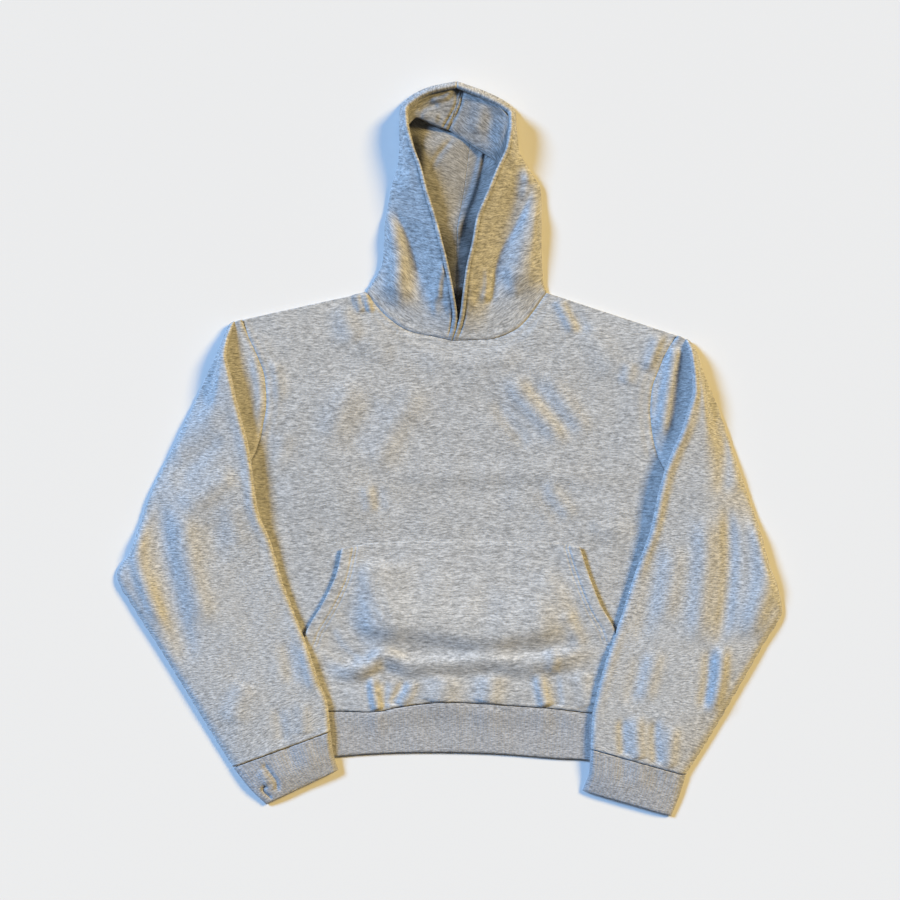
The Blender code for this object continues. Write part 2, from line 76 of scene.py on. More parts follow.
SleeveRow = namedtuple("SleeveRow", "seam_x seam_y fold_x fold_y outer_x outer_y ridge crown lift")
RIGHT_SLEEVE = [SleeveRow(*row) for row in [
    (-258, 156, -267, 154, -273, 150, 9, 8, 4.5),
    (-248, 132, -274, 131, -281, 130, 20, 18, 5),
    (-239, 113, -276, 113, -289, 112, 25, 22, 5),
    (-230, 86, -270, 86, -301, 86, 27, 23, 5),
    (-228, 58, -263, 56, -314, 56, 27, 22.5, 5),
    (-232, 30, -256, 29, -328, 28, 27, 21, 5.5),
    (-240, 2, -249, 1, -341, 0, 26, 20, 7),
    (-252, -22, -245, -26, -355, -28, 25, 19, 9),
    (-270, -46, -241, -56, -370, -60, 24, 18, 8),
    (0, 0, -236, -80, -379, -88, 21, 16, ON_FRONT_Z),
    (0, 0, -224, -108, -392, -122, 17, 14, ON_FRONT_Z),
    (0, 0, -212, -149, -407, -152, 14, 13, ON_FRONT_Z),
    (0, 0, -199, -185, -388, -188, 14, 12.5, ON_FRONT_Z),
    (0, 0, -182, -228, -356, -238, 16, 13, ON_POCKET_Z),
    (0, 0, -167, -272, -320, -296, 17, 14, ON_POCKET_Z),
    (0, 0, -155, -306, -289, -347, 16, 14, ON_POCKET_Z),
    (0, 0, -152, -337, -268, -380, 15, 13, ON_FRONT_Z),
]]
LEFT_SLEEVE = [SleeveRow(*row) for row in [
    (265, 137, 275, 133, 282, 128, 9, 8, 4.5),
    (253, 120, 279, 118, 288, 117, 20, 18, 5),
    (242, 95, 282, 95, 295, 95, 26, 22, 5),
    (234, 72, 283, 71, 305, 71, 28, 23, 5),
    (232, 48, 277, 47, 315, 46, 28, 22.5, 5),
    (234, 24, 269, 22, 324, 19, 27, 21, 5.5),
    (239, 0, 259, -1, 332, -5, 26, 20, 7),
    (251, -25, 248, -29, 342, -34, 25, 19, 9),
    (282, -50, 240, -60, 353, -66, 24, 18, 8),
    (0, 0, 234, -90, 364, -98, 21, 16, ON_FRONT_Z),
    (0, 0, 220, -132, 376, -140, 17, 14, ON_FRONT_Z),
    (0, 0, 208, -166, 386, -168, 14, 13, ON_FRONT_Z),
    (0, 0, 196, -204, 390, -193, 14, 12.5, ON_FRONT_Z),
    (0, 0, 181, -247, 366, -236, 16, 13, ON_POCKET_Z),
    (0, 0, 168, -293, 334, -292, 16, 14, ON_POCKET_Z),
    (0, 0, 162, -326, 302, -346, 15, 14, ON_POCKET_Z),
    (0, 0, 161, -358, 274, -390, 14, 13, ON_FRONT_Z),
]]

CuffRow = namedtuple("CuffRow", "inner_x inner_y outer_x outer_y height")
RIGHT_CUFF = [CuffRow(*row) for row in [
    (-152, -338, -267, -381, 9),
    (-149, -362, -249, -404, 7),
    (-143, -384, -228, -425, 5.5),
]]
LEFT_CUFF = [CuffRow(*row) for row in [
    (161, -359, 274, -391, 9),
    (160, -384, 266, -416, 7),
    (152, -409, 257, -439, 5.5),
]]

HoodRow = namedtuple("HoodRow", "rim_x rim_y rim_z valley_x valley_y valley_z bump_x bump_y bump_z "
                                "side_x side_y spine_y")
RIGHT_HOOD = [HoodRow(*row) for row in [
    (-5, 131, FRONT_Z, -56, 142, FRONT_Z, -84, 160, FRONT_Z, -109, 189, 167),
    (0, 159, 15, -42, 166, 7, -68, 182, 9, -97, 206, 178),
    (-4, 188, 27, -43, 194, 8, -66, 212, 12, -88, 227, 194),
    (-10, 218, 33, -50, 226, 9, -70, 240, 12, -86, 252, 215),
    (-17, 246, 36, -59, 254, 9, -74, 264, 11, -85, 274, 240),
    (-25, 276, 37, -66, 282, 12, -76, 286, 8, -82, 290, 265),
    (-36, 311, 37, -58, 314, 22, -70, 316, 11, -77, 317, 290),
    (-43, 338, 36, -57, 341, 26, -65, 342, 13, -70, 342, 310),
    (-53, 364, 33, -60, 364, 25, -65, 364, 12, -68, 364, 328),
    (-60, 390, 31, -64, 391, 21, -67, 391, 11, -68, 391, 344),
    (-61, 406, 29, -64, 408, 18, -66, 409, 10, -67, 410, 358),
    (-52, 417, 26, -54, 420, 15, -55, 422, 9, -56, 423, 369),
    (-31, 429, 24, -32, 432, 13, -32, 434, 8, -33, 435, 378),
    (0, 436, 22.5, 0, 439, 12, 0, 441, 7, 0, 442, 386),
]]
LEFT_HOOD = [HoodRow(*row) for row in [
    (-5, 131, FRONT_Z, 36, 132, FRONT_Z, 72, 145, FRONT_Z, 107, 189, 167),
    (4, 159, 15, 40, 166, 7, 74, 184, 9, 103, 203, 178),
    (8, 190, 27, 43, 194, 8, 73, 206, 12, 102, 219, 194),
    (12, 218, 33, 48, 226, 9, 76, 233, 14, 101, 242, 215),
    (19, 248, 36, 56, 252, 8, 80, 258, 14, 101, 264, 240),
    (24, 276, 37, 66, 277, 8, 86, 281, 13, 101, 287, 265),
    (37, 308, 36, 72, 308, 11, 90, 310, 12, 100, 311, 290),
    (48, 335, 34, 68, 335, 18, 79, 335, 13, 87, 335, 310),
    (61, 364, 32, 67, 362, 24, 71, 361, 12, 74, 360, 328),
    (65, 388, 31, 68, 388, 20, 70, 388, 11, 71, 388, 344),
    (65, 401, 29, 67, 402, 17, 69, 403, 10, 70, 404, 358),
    (56, 410, 26, 58, 413, 15, 59, 414, 9, 60, 416, 369),
    (34, 422, 24, 35, 425, 13, 36, 427, 8, 36, 429, 378),
    (0, 436, 22.5, 0, 439, 12, 0, 441, 7, 0, 442, 386),
]]

# Soft creases: a line of plan points, half width, height (below 0 for a trough), and how much of each
# end fades out. skew makes the side to the left of the line's direction wider and the other steeper.
Crease = namedtuple("Crease", "points half_width height fade_start fade_end skew")
Crease.__new__.__defaults__ = (0.25, 0.25, 0.0)


def crease_table(rows):
    return [Crease(*row) for row in rows]


FRONT_CREASES = crease_table([
    # chest, under the left shoulder
    ([(60, 92), (76, 70), (104, 38), (134, 6)], 11, 3.8),
    ([(82, 90), (98, 66), (120, 38), (142, 14)], 9, -2.0),
    ([(106, 92), (126, 64), (146, 36), (160, 16)], 10, 2.2),
    ([(44, 62), (62, 34), (88, 2)], 8, -1.6),
    # under the right shoulder
    ([(-104, -32), (-84, 10), (-62, 50), (-46, 88)], 16, 2.6),
    ([(-128, -10), (-112, 34), (-92, 66)], 14, -1.6),
    ([(-152, 10), (-140, 50), (-124, 84)], 14, 1.8),
    ([(-108, -40), (-106, -56), (-102, -76)], 7, 1.6),
    ([(-96, -40), (-94, -56), (-91, -76)], 7, -1.2),
    # across the waist
    ([(-108, -26), (-30, -31), (60, -28), (150, -34), (226, -44)], 11, 1.9),
    ([(-90, -44), (10, -49), (110, -46), (190, -58)], 12, -1.3),
    ([(156, -90), (190, -96), (222, -99)], 9, 1.5),
    ([(108, -36), (122, -58), (142, -82)], 8, 1.7),
    ([(98, -48), (112, -70), (128, -88)], 8, -1.1),
    # beside the armholes
    ([(246, 142), (240, 116), (232, 90)], 10, 4.4),
    ([(208, 106), (206, 92), (202, 78)], 8, 2.2),
    ([(-222, 110), (-214, 84), (-212, 56)], 9, 1.4),
    ([(-150, 110), (-140, 40), (-146, -60), (-150, -110)], 60, 3.0, 0.3, 0.3, -0.2),
    ([(-206, 26), (-216, -8), (-232, -34)], 12, 1.8),
    # below the neck
    ([(122, 180), (132, 160), (143, 138)], 6, 3.6, 0.1, 0.3),
    ([(136, 176), (146, 156), (156, 138)], 6, -1.6),
    ([(-60, 122), (-20, 108), (40, 106), (84, 118)], 12, 1.5),
    ([(-150, 150), (-110, 130), (-70, 110)], 16, 1.4),
    ([(150, 150), (178, 118), (196, 84)], 16, 1.5),
    # the bottom, across pocket and body
    ([(-116, -236), (-72, -213), (-19, -215), (36, -223), (77, -216), (150, -206)],
     31, 11.5, 0.2, 0.2, 0.40),
    ([(-170, -262), (-114, -260), (-89, -245), (-58, -254), (-19, -254), (36, -251), (90, -254),
            (140, -245), (188, -234)], 10, 7.2, 0.15, 0.25, -0.30),
    ([(-172, -282), (-114, -279), (-89, -266), (-58, -275), (-19, -275), (36, -272), (90, -275),
            (140, -266), (186, -254)], 7, -1.4, 0.15, 0.25),
    ([(-101, -270), (-99, -292), (-95, -311)], 4.5, 5.2, 0.3, 0.05),
    ([(-86, -274), (-86, -292), (-87, -310)], 4, -2.0, 0.3, 0.05),
    ([(-62, -276), (-69, -291), (-79, -306)], 4, -4.4, 0.3, 0.2),
    ([(-50, -274), (-57, -292), (-66, -307)], 6, 2.6, 0.3, 0.1),
    ([(40, -266), (40, -284), (36, -304)], 14, 4.6, 0.3, 0.1),
    ([(-14, -268), (-16, -284), (-20, -304)], 17, 4.2, 0.3, 0.1),
    ([(98, -266), (101, -284), (106, -307)], 6, 4.4, 0.3, 0.05),
    ([(116, -268), (119, -288), (122, -308)], 5, -2.6, 0.3, 0.05),
    ([(150, -262), (154, -284), (158, -308)], 11, 4.0, 0.3, 0.05),
    ([(-156, -212), (-148, -234), (-132, -250), (-112, -256)], 8, -4.0),
    ([(-104, -126), (-100, -176), (-100, -226)], 24, 5.0, 0.25, 0.2, 0.30),
    ([(-178, -236), (-168, -262), (-160, -300)], 9, 2.4),
    ([(128, -190), (140, -214), (152, -240)], 9, 2.4),
    ([(112, -236), (116, -252), (112, -268)], 7, 2.0),
    ([(-138, 176), (-130, 150), (-118, 128)], 12, 2.0),
])

# Short folds beside the right end of the neck seam
NECK_FOLDS = crease_table([
    ([(-120, 186), (-118, 177), (-113, 163)], 3.4, 4.4, 0.02, 0.35),
    ([(-110, 188), (-107, 177), (-102, 163)], 3.4, 4.4, 0.02, 0.35),
])

# The seam of the right armhole stands up between the body and the sleeve's valley
ARMHOLE_RISE = crease_table([
    ([(-258, 156), (-248, 132), (-239, 113), (-230, 86), (-228, 58), (-232, 30), (-240, 2), (-252, -22)],
           13, 2.0, 0.2, 0.3),
])

POCKET_CREASES = crease_table([
    ([(-60, -150), (0, -160), (70, -152)], 20, 0.8),
    ([(96, -140), (118, -170), (140, -206)], 12, 1.2),
    ([(-130, -140), (-128, -170), (-132, -205)], 9, -1.0),
])

RIGHT_SLEEVE_CREASES = crease_table([
    ([(-332, -72), (-300, -50), (-262, -26)], 13, 2.2),
    ([(-346, -16), (-322, 20), (-292, 60)], 13, 2.2),
    ([(-342, -44), (-312, -12), (-278, 20)], 11, -1.8),
    ([(-356, -50), (-355, -112), (-346, -160), (-333, -210), (-316, -262)], 11.5, -5.8),
    ([(-330, -60), (-324, -112), (-314, -160), (-300, -214)], 13, 3.2),
    ([(-380, -80), (-382, -130), (-368, -176), (-348, -222)], 9, 4.0),
    ([(-272, -62), (-268, -90), (-256, -118)], 12, 1.2),
    ([(-296, -84), (-290, -110), (-282, -140)], 11, -1.0),
    ([(-204, -226), (-200, -252), (-194, -284)], 9, -1.8),
    ([(-182, -232), (-176, -262), (-170, -290)], 7, 1.6),
    ([(-252, -276), (-264, -306), (-268, -330)], 13, 1.8),
    ([(-216, -306), (-210, -328), (-208, -348)], 7, -1.0, 0.3, 0.05),
    ([(-186, -300), (-184, -320), (-184, -340)], 8, 1.0, 0.3, 0.05),
])
RIGHT_VALLEY_CREASES = crease_table([
    ([(-246, 118), (-239, 92), (-236, 60), (-240, 26)], 6, 2.2),
])
LEFT_SLEEVE_CREASES = crease_table([
    ([(322, -60), (326, -96), (327, -140), (322, -196), (313, -240)], 8, -5.0),
    ([(358, -70), (368, -110), (370, -156), (358, -200), (344, -232)], 14, 5.4),
    ([(296, -70), (298, -120), (294, -170), (288, -236)], 13, 3.6),
    ([(303, -234), (301, -276), (295, -314)], 6, -3.4),
    ([(318, -230), (315, -274), (305, -318)], 7, 4.2),
    ([(336, 20), (334, -20), (336, -56)], 8, 1.6),
    ([(322, 24), (318, -20), (318, -60)], 8, -1.6),
    ([(240, -100), (234, -150), (226, -200), (216, -240)], 11, -1.8),
    ([(262, -110), (256, -160), (246, -210)], 12, 1.6),
    ([(240, -236), (232, -272), (224, -304)], 9, 1.8),
    ([(222, -240), (214, -276), (206, -310)], 8, -1.2),
    ([(199, -318), (198, -336), (200, -366)], 5, -2.6, 0.3, 0.05),
    ([(216, -314), (216, -338), (218, -370)], 7, 2.4, 0.3, 0.05),
    ([(238, -318), (237, -344), (239, -376)], 5, -2.6, 0.3, 0.05),
    ([(258, -326), (256, -352), (254, -380)], 8, 2.2, 0.3, 0.05),
])
LEFT_VALLEY_CREASES = crease_table([
    ([(262, 126), (258, 100), (254, 74), (248, 34), (245, 8)], 8, 7.0, 0.1, 0.25),
])
CUFF_CREASES = crease_table([
    ([(198, -366), (199, -384), (196, -404)], 7, -1.2, 0.05, 0.4),
    ([(240, -376), (240, -396), (234, -412)], 8, -1.2, 0.05, 0.4),
    ([(218, -370), (219, -390), (214, -408)], 9, 1.2, 0.05, 0.4),
    ([(-206, -346), (-200, -366), (-190, -388)], 8, -1.4, 0.05, 0.4),
    ([(-232, -376), (-222, -389), (-216, -398), (-216, -410)], 3.2, -2.4, 0.1, 0.1),
    ([(-236, -384), (-229, -394), (-224, -402)], 5, 1.6),
    ([(-228, -402), (-232, -408), (-222, -418)], 2.2, -3.4, 0.05, 0.1),
    ([(-184, -342), (-178, -366), (-170, -384)], 9, 1.2, 0.05, 0.4),
])
HOOD_CREASES = crease_table([
    ([(-20, 346), (-28, 330), (-38, 306)], 5, -1.0),
    ([(-16, 226), (-20, 200), (-22, 176)], 4, 3.0),
    ([(-12, 212), (-16, 186), (-12, 160)], 5, -1.6),
    ([(-22, 214), (-26, 184), (-24, 158)], 4, 1.4),
    ([(-68, 240), (-72, 210), (-80, 186)], 9, 2.2),
    ([(35, 222), (36, 200), (32, 174)], 4, 3.4),
    ([(42, 224), (44, 200), (40, 172)], 5, -1.6),
    ([(22, 214), (24, 190), (22, 168)], 5, -1.4),
    ([(60, 226), (66, 206), (72, 180)], 8, 1.8),
    ([(78, 300), (84, 320), (82, 340)], 6, 1.8),
    ([(-77, 293), (-61, 259), (-48, 222), (-42, 199)], 5, -3.0),
    ([(-80, 282), (-72, 240), (-69, 200), (-70, 164)], 12, 5.8),
    ([(92, 314), (71, 268), (50, 232), (43, 190)], 5, -3.0),
    ([(102, 300), (94, 262), (80, 232), (76, 186)], 19, 7.0),
    ([(76, 350), (84, 336), (88, 318)], 7, 2.4),
])
def smooth_step(value):
    value = np.clip(value, 0.0, 1.0)
    return value * value * (3 - 2 * value)


def bell(away, width):
    """1 on a line, falling off softly over about width."""
    return np.exp(-(away / width) ** 2)


def smooth_line(points, steps):
    """A smooth curve through points (any number of axes) with steps samples a span and no overshoot."""
    points = np.asarray(points, dtype=float)
    flat = points.reshape(len(points), -1)
    spans = np.diff(flat, axis=0)
    lengths = np.ones(len(spans)) if flat.shape[1] > 8 else np.maximum(np.linalg.norm(spans, axis=1), 1e-6)
    slopes = spans / lengths[:, None]
    tangents = np.zeros_like(flat)
    tangents[0] = slopes[0]
    tangents[-1] = slopes[-1]
    before, after = slopes[:-1], slopes[1:]
    same_way = before * after > 0
    total = np.where(same_way, before + after, 1.0)
    tangents[1:-1] = np.where(same_way, 2 * before * after / total, 0.0)
    line = []
    for index, length in enumerate(lengths):
        for step in range(steps):
            t = step / steps
            line.append((1 + 2 * t) * (1 - t) ** 2 * flat[index]
                        + t * t * (3 - 2 * t) * flat[index + 1]
                        + t * (1 - t) ** 2 * length * tangents[index]
                        + t * t * (t - 1) * length * tangents[index + 1])
    line.append(flat[-1])
    return np.array(line).reshape((-1,) + points.shape[1:])


def free_line(points, steps):
    """A rounder curve through plan points, for creases and seams."""
    points = np.asarray(points, dtype=float)
    if len(points) < 3:
        share = np.linspace(0, 1, steps + 1)[:, None]
        return points[0] * (1 - share) + points[-1] * share
    padded = np.vstack((2 * points[0] - points[1], points, 2 * points[-1] - points[-2]))
    line = []
    for index in range(len(points) - 1):
        p0, p1, p2, p3 = padded[index:index + 4]
        for step in range(steps):
            t = step / steps
            line.append(0.5 * (2 * p1 + (p2 - p0) * t + (2 * p0 - 5 * p1 + 4 * p2 - p3) * t * t
                               + (3 * p1 - p0 - 3 * p2 + p3) * t ** 3))
    line.append(points[-1])
    return np.array(line)


def arc_lengths(line):
    steps = np.linalg.norm(np.diff(line[:, :3] if line.shape[1] > 2 else line, axis=0), axis=1)
    return np.concatenate(([0.0], np.cumsum(steps)))


def resample(line, shares):
    """Points of a line at the given shares of its length."""
    along = arc_lengths(line)
    wanted = np.asarray(shares) * along[-1]
    return np.stack([np.interp(wanted, along, line[:, axis]) for axis in range(line.shape[1])], axis=1)


def dense_ends(count, start=0.6, end=0.6):
    """count + 1 shares from 0 to 1, closer together near an end as start or end goes towards 1."""
    share = np.linspace(0, 1, count + 1)
    rate = 1 - start * (1 - smooth_step(share / 0.35)) - end * smooth_step((share - 0.65) / 0.35)
    total = np.concatenate(([0.0], np.cumsum((rate[1:] + rate[:-1]) / 2)))
    return total / total[-1]


def fill_between(top, bottom, left, right):
    """A grid of plan points whose four edges are the given lines."""
    down, over = arc_lengths(left), arc_lengths(bottom)
    d = (down / down[-1])[:, None, None]
    o = (over / over[-1])[None, :, None]
    edges = (1 - d) * top[None] + d * bottom[None] + (1 - o) * left[:, None] + o * right[:, None]
    corners = ((1 - d) * ((1 - o) * top[0] + o * top[-1]) + d * ((1 - o) * bottom[0] + o * bottom[-1]))
    return edges - corners


def segment_distance(x, y, a, b):
    """Distance from plan points to the segment a to b, and their shares along it."""
    run = b - a
    t = np.clip(((x - a[0]) * run[0] + (y - a[1]) * run[1]) / max(run @ run, 1e-9), 0, 1)
    return np.hypot(x - a[0] - t * run[0], y - a[1] - t * run[1]), t


def crease_height(x, y, creases):
    """Height that the creases add at plan points."""
    height = np.zeros_like(x)
    for crease in creases:
        line = free_line(crease.points, 6)
        along = arc_lengths(line)
        reach = crease.half_width * (1 + abs(crease.skew)) * 3
        near = ((x > line[:, 0].min() - reach) & (x < line[:, 0].max() + reach)
                & (y > line[:, 1].min() - reach) & (y < line[:, 1].max() + reach))
        if not near.any():
            continue
        px, py = x[near], y[near]
        best = np.full(px.shape, 1e9)
        place = np.zeros(px.shape)
        side = np.ones(px.shape)
        for index in range(len(line) - 1):
            a, b = line[index], line[index + 1]
            away, t = segment_distance(px, py, a, b)
            closer = away < best
            best = np.where(closer, away, best)
            place = np.where(closer, along[index] + t * (along[index + 1] - along[index]), place)
            turn = (b - a)[0] * (py - a[1]) - (b - a)[1] * (px - a[0])
            side = np.where(closer, np.sign(turn), side)
        share = place / along[-1]
        fade = np.ones_like(share)
        if crease.fade_start > 0:
            fade = fade * smooth_step(share / crease.fade_start + 0.02)
        if crease.fade_end > 0:
            fade = fade * smooth_step((1 - share) / crease.fade_end + 0.02)
        half = crease.half_width * (1 + crease.skew * side)
        height[near] += crease.height * fade * np.exp(-(best / half) ** 2)
    return height


def line_distance(x, y, line):
    """Distance from plan points to a line."""
    best = np.full(x.shape, 1e9)
    for a, b in zip(line[:-1], line[1:]):
        best = np.minimum(best, segment_distance(x, y, a, b)[0])
    return best


def with_places(full):
    """A section grid as points, each point's place along its section, and plan x and y."""
    grid = full[..., :3].copy()
    return grid, full[..., 3], grid[..., 0].copy(), grid[..., 1].copy()


def soft_waves(x, y, seed, size, height):
    """Slow uneven waves, the same in each run."""
    rng = np.random.default_rng(seed)
    total = np.zeros_like(x)
    for _ in range(9):
        angle = rng.uniform(0, 2 * math.pi)
        length = size * rng.uniform(0.6, 1.7)
        phase = rng.uniform(0, 2 * math.pi)
        total += np.sin((x * math.cos(angle) + y * math.sin(angle)) * 2 * math.pi / length + phase)
    return total * height / 3


def grid_normals(grid, ring_from=None):
    down = np.gradient(grid, axis=0)
    over = np.gradient(grid, axis=1)
    if ring_from is not None:
        joined = (grid[ring_from:, 1] - grid[ring_from:, -2]) / 2
        over[ring_from:, 0] = joined
        over[ring_from:, -1] = joined
    normals = np.cross(over, down)
    lengths = np.linalg.norm(normals, axis=2, keepdims=True)
    return normals / np.maximum(lengths, 1e-9)


def shell(grid, uv, ring_from=None, thickness=CLOTH, round_ends=()):
    """Two skins of a sheet joined round its free edges: vertices, faces and a uv for each vertex."""
    normals = grid_normals(grid, ring_from)
    half = np.full(grid.shape[:2], thickness / 2)
    for end in round_ends:
        for step, share in enumerate(ROUND_SHARES):
            if end == "first_row":
                half[step] *= share
            if end == "last_row":
                half[-1 - step] *= share
            if end == "first_column":
                half[:, step] *= share
            if end == "last_column":
                half[:, -1 - step] *= share
    outside = grid + normals * half[..., None]
    inside = grid - normals * half[..., None]
    for skin in (outside, inside):
        skin[..., 2] = np.maximum(skin[..., 2], OFF_FLOOR)
    rows, columns = grid.shape[:2]
    count = rows * columns
    index = np.arange(count).reshape(rows, columns)
    if ring_from is not None:
        index[ring_from:, -1] = index[ring_from:, 0]
    quads = np.stack((index[:-1, :-1], index[:-1, 1:], index[1:, 1:], index[1:, :-1]), axis=-1)
    quads = quads.reshape(-1, 4)
    faces = [quads, quads[:, ::-1] + count]
    edges = [np.stack((index[0, :-1], index[0, 1:]), axis=1),
             np.stack((index[-1, 1:], index[-1, :-1]), axis=1)]
    open_rows = rows if ring_from is None else ring_from + 1
    first = index[:open_rows, 0]
    last = index[:open_rows, -1]
    if open_rows > 1:
        edges.append(np.stack((first[1:], first[:-1]), axis=1))
        edges.append(np.stack((last[:-1], last[1:]), axis=1))
    for edge in edges:
        faces.append(np.stack((edge[:, 1], edge[:, 0], edge[:, 0] + count, edge[:, 1] + count), axis=1))
    vertices = np.concatenate((outside.reshape(-1, 3), inside.reshape(-1, 3)))
    flat_uv = np.concatenate((uv.reshape(-1, 2), uv.reshape(-1, 2)))
    return vertices, np.concatenate(faces), flat_uv


def mesh_object(name, vertices, faces, material):
    mesh = bpy.data.meshes.new(name)
    mesh.from_pydata(vertices, [], faces)
    mesh.polygons.foreach_set("use_smooth", np.ones(len(mesh.polygons), bool))
    mesh.materials.append(material)
    mesh.update()
    made = bpy.data.objects.new(name, mesh)
    bpy.context.scene.collection.objects.link(made)
    return made


def make_piece(name, shells, material, second=None, second_faces=None):
    """One mesh piece from shells. The faces marked in second_faces take the second material."""
    vertices, faces, uvs, start = [], [], [], 0
    for points, quads, uv in shells:
        vertices.append(points)
        faces.append(quads + start)
        uvs.append(uv)
        start += len(points)
    vertices = np.concatenate(vertices)
    faces = np.concatenate(faces)
    uvs = np.concatenate(uvs)
    used = np.zeros(len(vertices), bool)
    used[faces.ravel()] = True
    place = np.cumsum(used) - 1
    vertices = vertices[used]
    uvs = uvs[used]
    faces = place[faces]
    piece = mesh_object(name, (vertices * MM).tolist(), faces.tolist(), material)
    mesh = piece.data
    layer = mesh.uv_layers.new(name="grain")
    corners = np.zeros(len(mesh.loops), np.int32)
    mesh.loops.foreach_get("vertex_index", corners)
    layer.data.foreach_set("uv", uvs[corners].astype(np.float32).ravel())
    if second is not None:
        mesh.materials.append(second)
        mesh.polygons.foreach_set("material_index", second_faces.astype(np.int32))
    mesh.update()
    return piece


def grid_uv(grid):
    """Plan position in mm as the cloth's own grain: u across the body, v up it."""
    return grid[..., :2].copy()


def arc_uv(grid, turn=0.0):
    """u is the length along each section and v the length down the piece."""
    over = np.zeros(grid.shape[:2])
    over[:, 1:] = np.cumsum(np.linalg.norm(np.diff(grid, axis=1), axis=2), axis=1)
    middle = grid[:, grid.shape[1] // 2]
    down = np.concatenate(([0.0], np.cumsum(np.linalg.norm(np.diff(middle, axis=0), axis=1))))
    return np.stack((over + turn, np.broadcast_to(down[:, None], over.shape)), axis=-1)


# Materials -----------------------------------------------------------------------------------------

def node(tree, kind, **values):
    made = tree.nodes.new(kind)
    for key, value in values.items():
        setattr(made, key, value)
    return made


def new_material(name):
    """A material, its node tree and its shader."""
    material = bpy.data.materials.new(name)
    material.use_nodes = True
    return material, material.node_tree, material.node_tree.nodes["Principled BSDF"]


def colour_ramp(tree, value, shader, low, high):
    """Drive the shader's base colour from low to high."""
    ramp = node(tree, "ShaderNodeValToRGB")
    ramp.color_ramp.elements[0].color = (*low, 1.0)
    ramp.color_ramp.elements[1].color = (*high, 1.0)
    tree.links.new(value, ramp.inputs["Fac"])
    tree.links.new(ramp.outputs["Color"], shader.inputs["Base Color"])
    return ramp.color_ramp.elements


def shade_of(colour, factor):
    return tuple(c * factor for c in colour)


def stretched_noise(tree, source, size, detail, roughness, seed):
    """Noise with its own grain size (mm along u, mm along v)."""
    mapping = node(tree, "ShaderNodeMapping")
    mapping.inputs["Location"].default_value = (seed * 3.7, seed * 1.9, seed * 0.77)
    mapping.inputs["Scale"].default_value = (1 / size[0], 1 / size[1], 1.0)
    noise = node(tree, "ShaderNodeTexNoise")
    noise.inputs["Scale"].default_value = 1.0
    noise.inputs["Detail"].default_value = detail
    noise.inputs["Roughness"].default_value = roughness
    tree.links.new(source, mapping.inputs["Vector"])
    tree.links.new(mapping.outputs["Vector"], noise.inputs["Vector"])
    return noise.outputs["Fac"]


def maths(tree, operation, a, b):
    made = node(tree, "ShaderNodeMath", operation=operation)
    for socket, value in zip(made.inputs, (a, b)):
        if isinstance(value, (int, float)):
            socket.default_value = value
        else:
            tree.links.new(value, socket)
    return made.outputs[0]


# How strongly each noise shows in the marl
PALE = 0.62
DARK = 0.52
MOTTLE = 0.42
CLOUD = 0.06
CONTRAST = 2.3


def fleece(name, shade, streak=(8.0, 1.5), flecks=1.0, seed=1.0, bump=0.5):
    """Grey marl fleece: short pale and dark streaks along the grain over a fine mottle."""
    material, tree, shader = new_material(name)
    uv = node(tree, "ShaderNodeUVMap", uv_map="grain").outputs["UV"]
    sway = node(tree, "ShaderNodeCombineXYZ")
    wave = stretched_noise(tree, uv, (38.0, 26.0), 1.0, 0.5, seed + 17)
    tree.links.new(maths(tree, "MULTIPLY", wave, 9.0), sway.inputs["Y"])
    moved = node(tree, "ShaderNodeVectorMath", operation="ADD")
    tree.links.new(uv, moved.inputs[0])
    tree.links.new(sway.outputs["Vector"], moved.inputs[1])
    grain = moved.outputs["Vector"]
    pale = stretched_noise(tree, grain, streak, 2.0, 0.6, seed)
    dark = stretched_noise(tree, grain, (streak[0] * 0.8, streak[1] * 1.1), 2.0, 0.6, seed + 5)
    mottle = stretched_noise(tree, grain, (2.6, 1.2), 2.0, 0.7, seed + 9)
    cloud = stretched_noise(tree, uv, (55.0, 28.0), 2.0, 0.5, seed + 13)
    value = maths(tree, "ADD", maths(tree, "MULTIPLY", pale, PALE * flecks),
                  maths(tree, "MULTIPLY", dark, -DARK * flecks))
    value = maths(tree, "ADD", value, maths(tree, "MULTIPLY", mottle, MOTTLE * flecks))
    value = maths(tree, "ADD", value, maths(tree, "MULTIPLY", cloud, CLOUD))
    value = maths(tree, "MULTIPLY_ADD", value, CONTRAST)
    value.node.inputs[2].default_value = 0.5 - CONTRAST * 0.5 * ((PALE - DARK + MOTTLE) * flecks + CLOUD)
    stops = colour_ramp(tree, value, shader, shade_of(shade, 0.56), shade_of(shade, 1.52))
    stops[0].position = 0.08
    stops[1].position = 0.92
    stops.new(0.45).color = (*shade_of(shade, 0.93), 1.0)
    height = maths(tree, "ADD", maths(tree, "MULTIPLY", mottle, 0.6), maths(tree, "MULTIPLY", pale, 0.4))
    raised = node(tree, "ShaderNodeBump")
    raised.inputs["Strength"].default_value = bump
    raised.inputs["Distance"].default_value = 0.0006
    tree.links.new(height, raised.inputs["Height"])
    tree.links.new(raised.outputs["Normal"], shader.inputs["Normal"])
    shader.inputs["Roughness"].default_value = 0.95
    shader.inputs["Specular IOR Level"].default_value = 0.15
    shader.inputs["Sheen Weight"].default_value = 0.06
    shader.inputs["Sheen Roughness"].default_value = 0.6
    return material


def thread_material(name, colour):
    material, tree, shader = new_material(name)
    where = node(tree, "ShaderNodeTexCoord").outputs["Object"]
    noise = node(tree, "ShaderNodeTexNoise")
    noise.inputs["Scale"].default_value = 900.0
    tree.links.new(where, noise.inputs["Vector"])
    colour_ramp(tree, noise.outputs["Fac"], shader, shade_of(colour, 0.86), shade_of(colour, 1.12))
    shader.inputs["Roughness"].default_value = 0.7
    return material


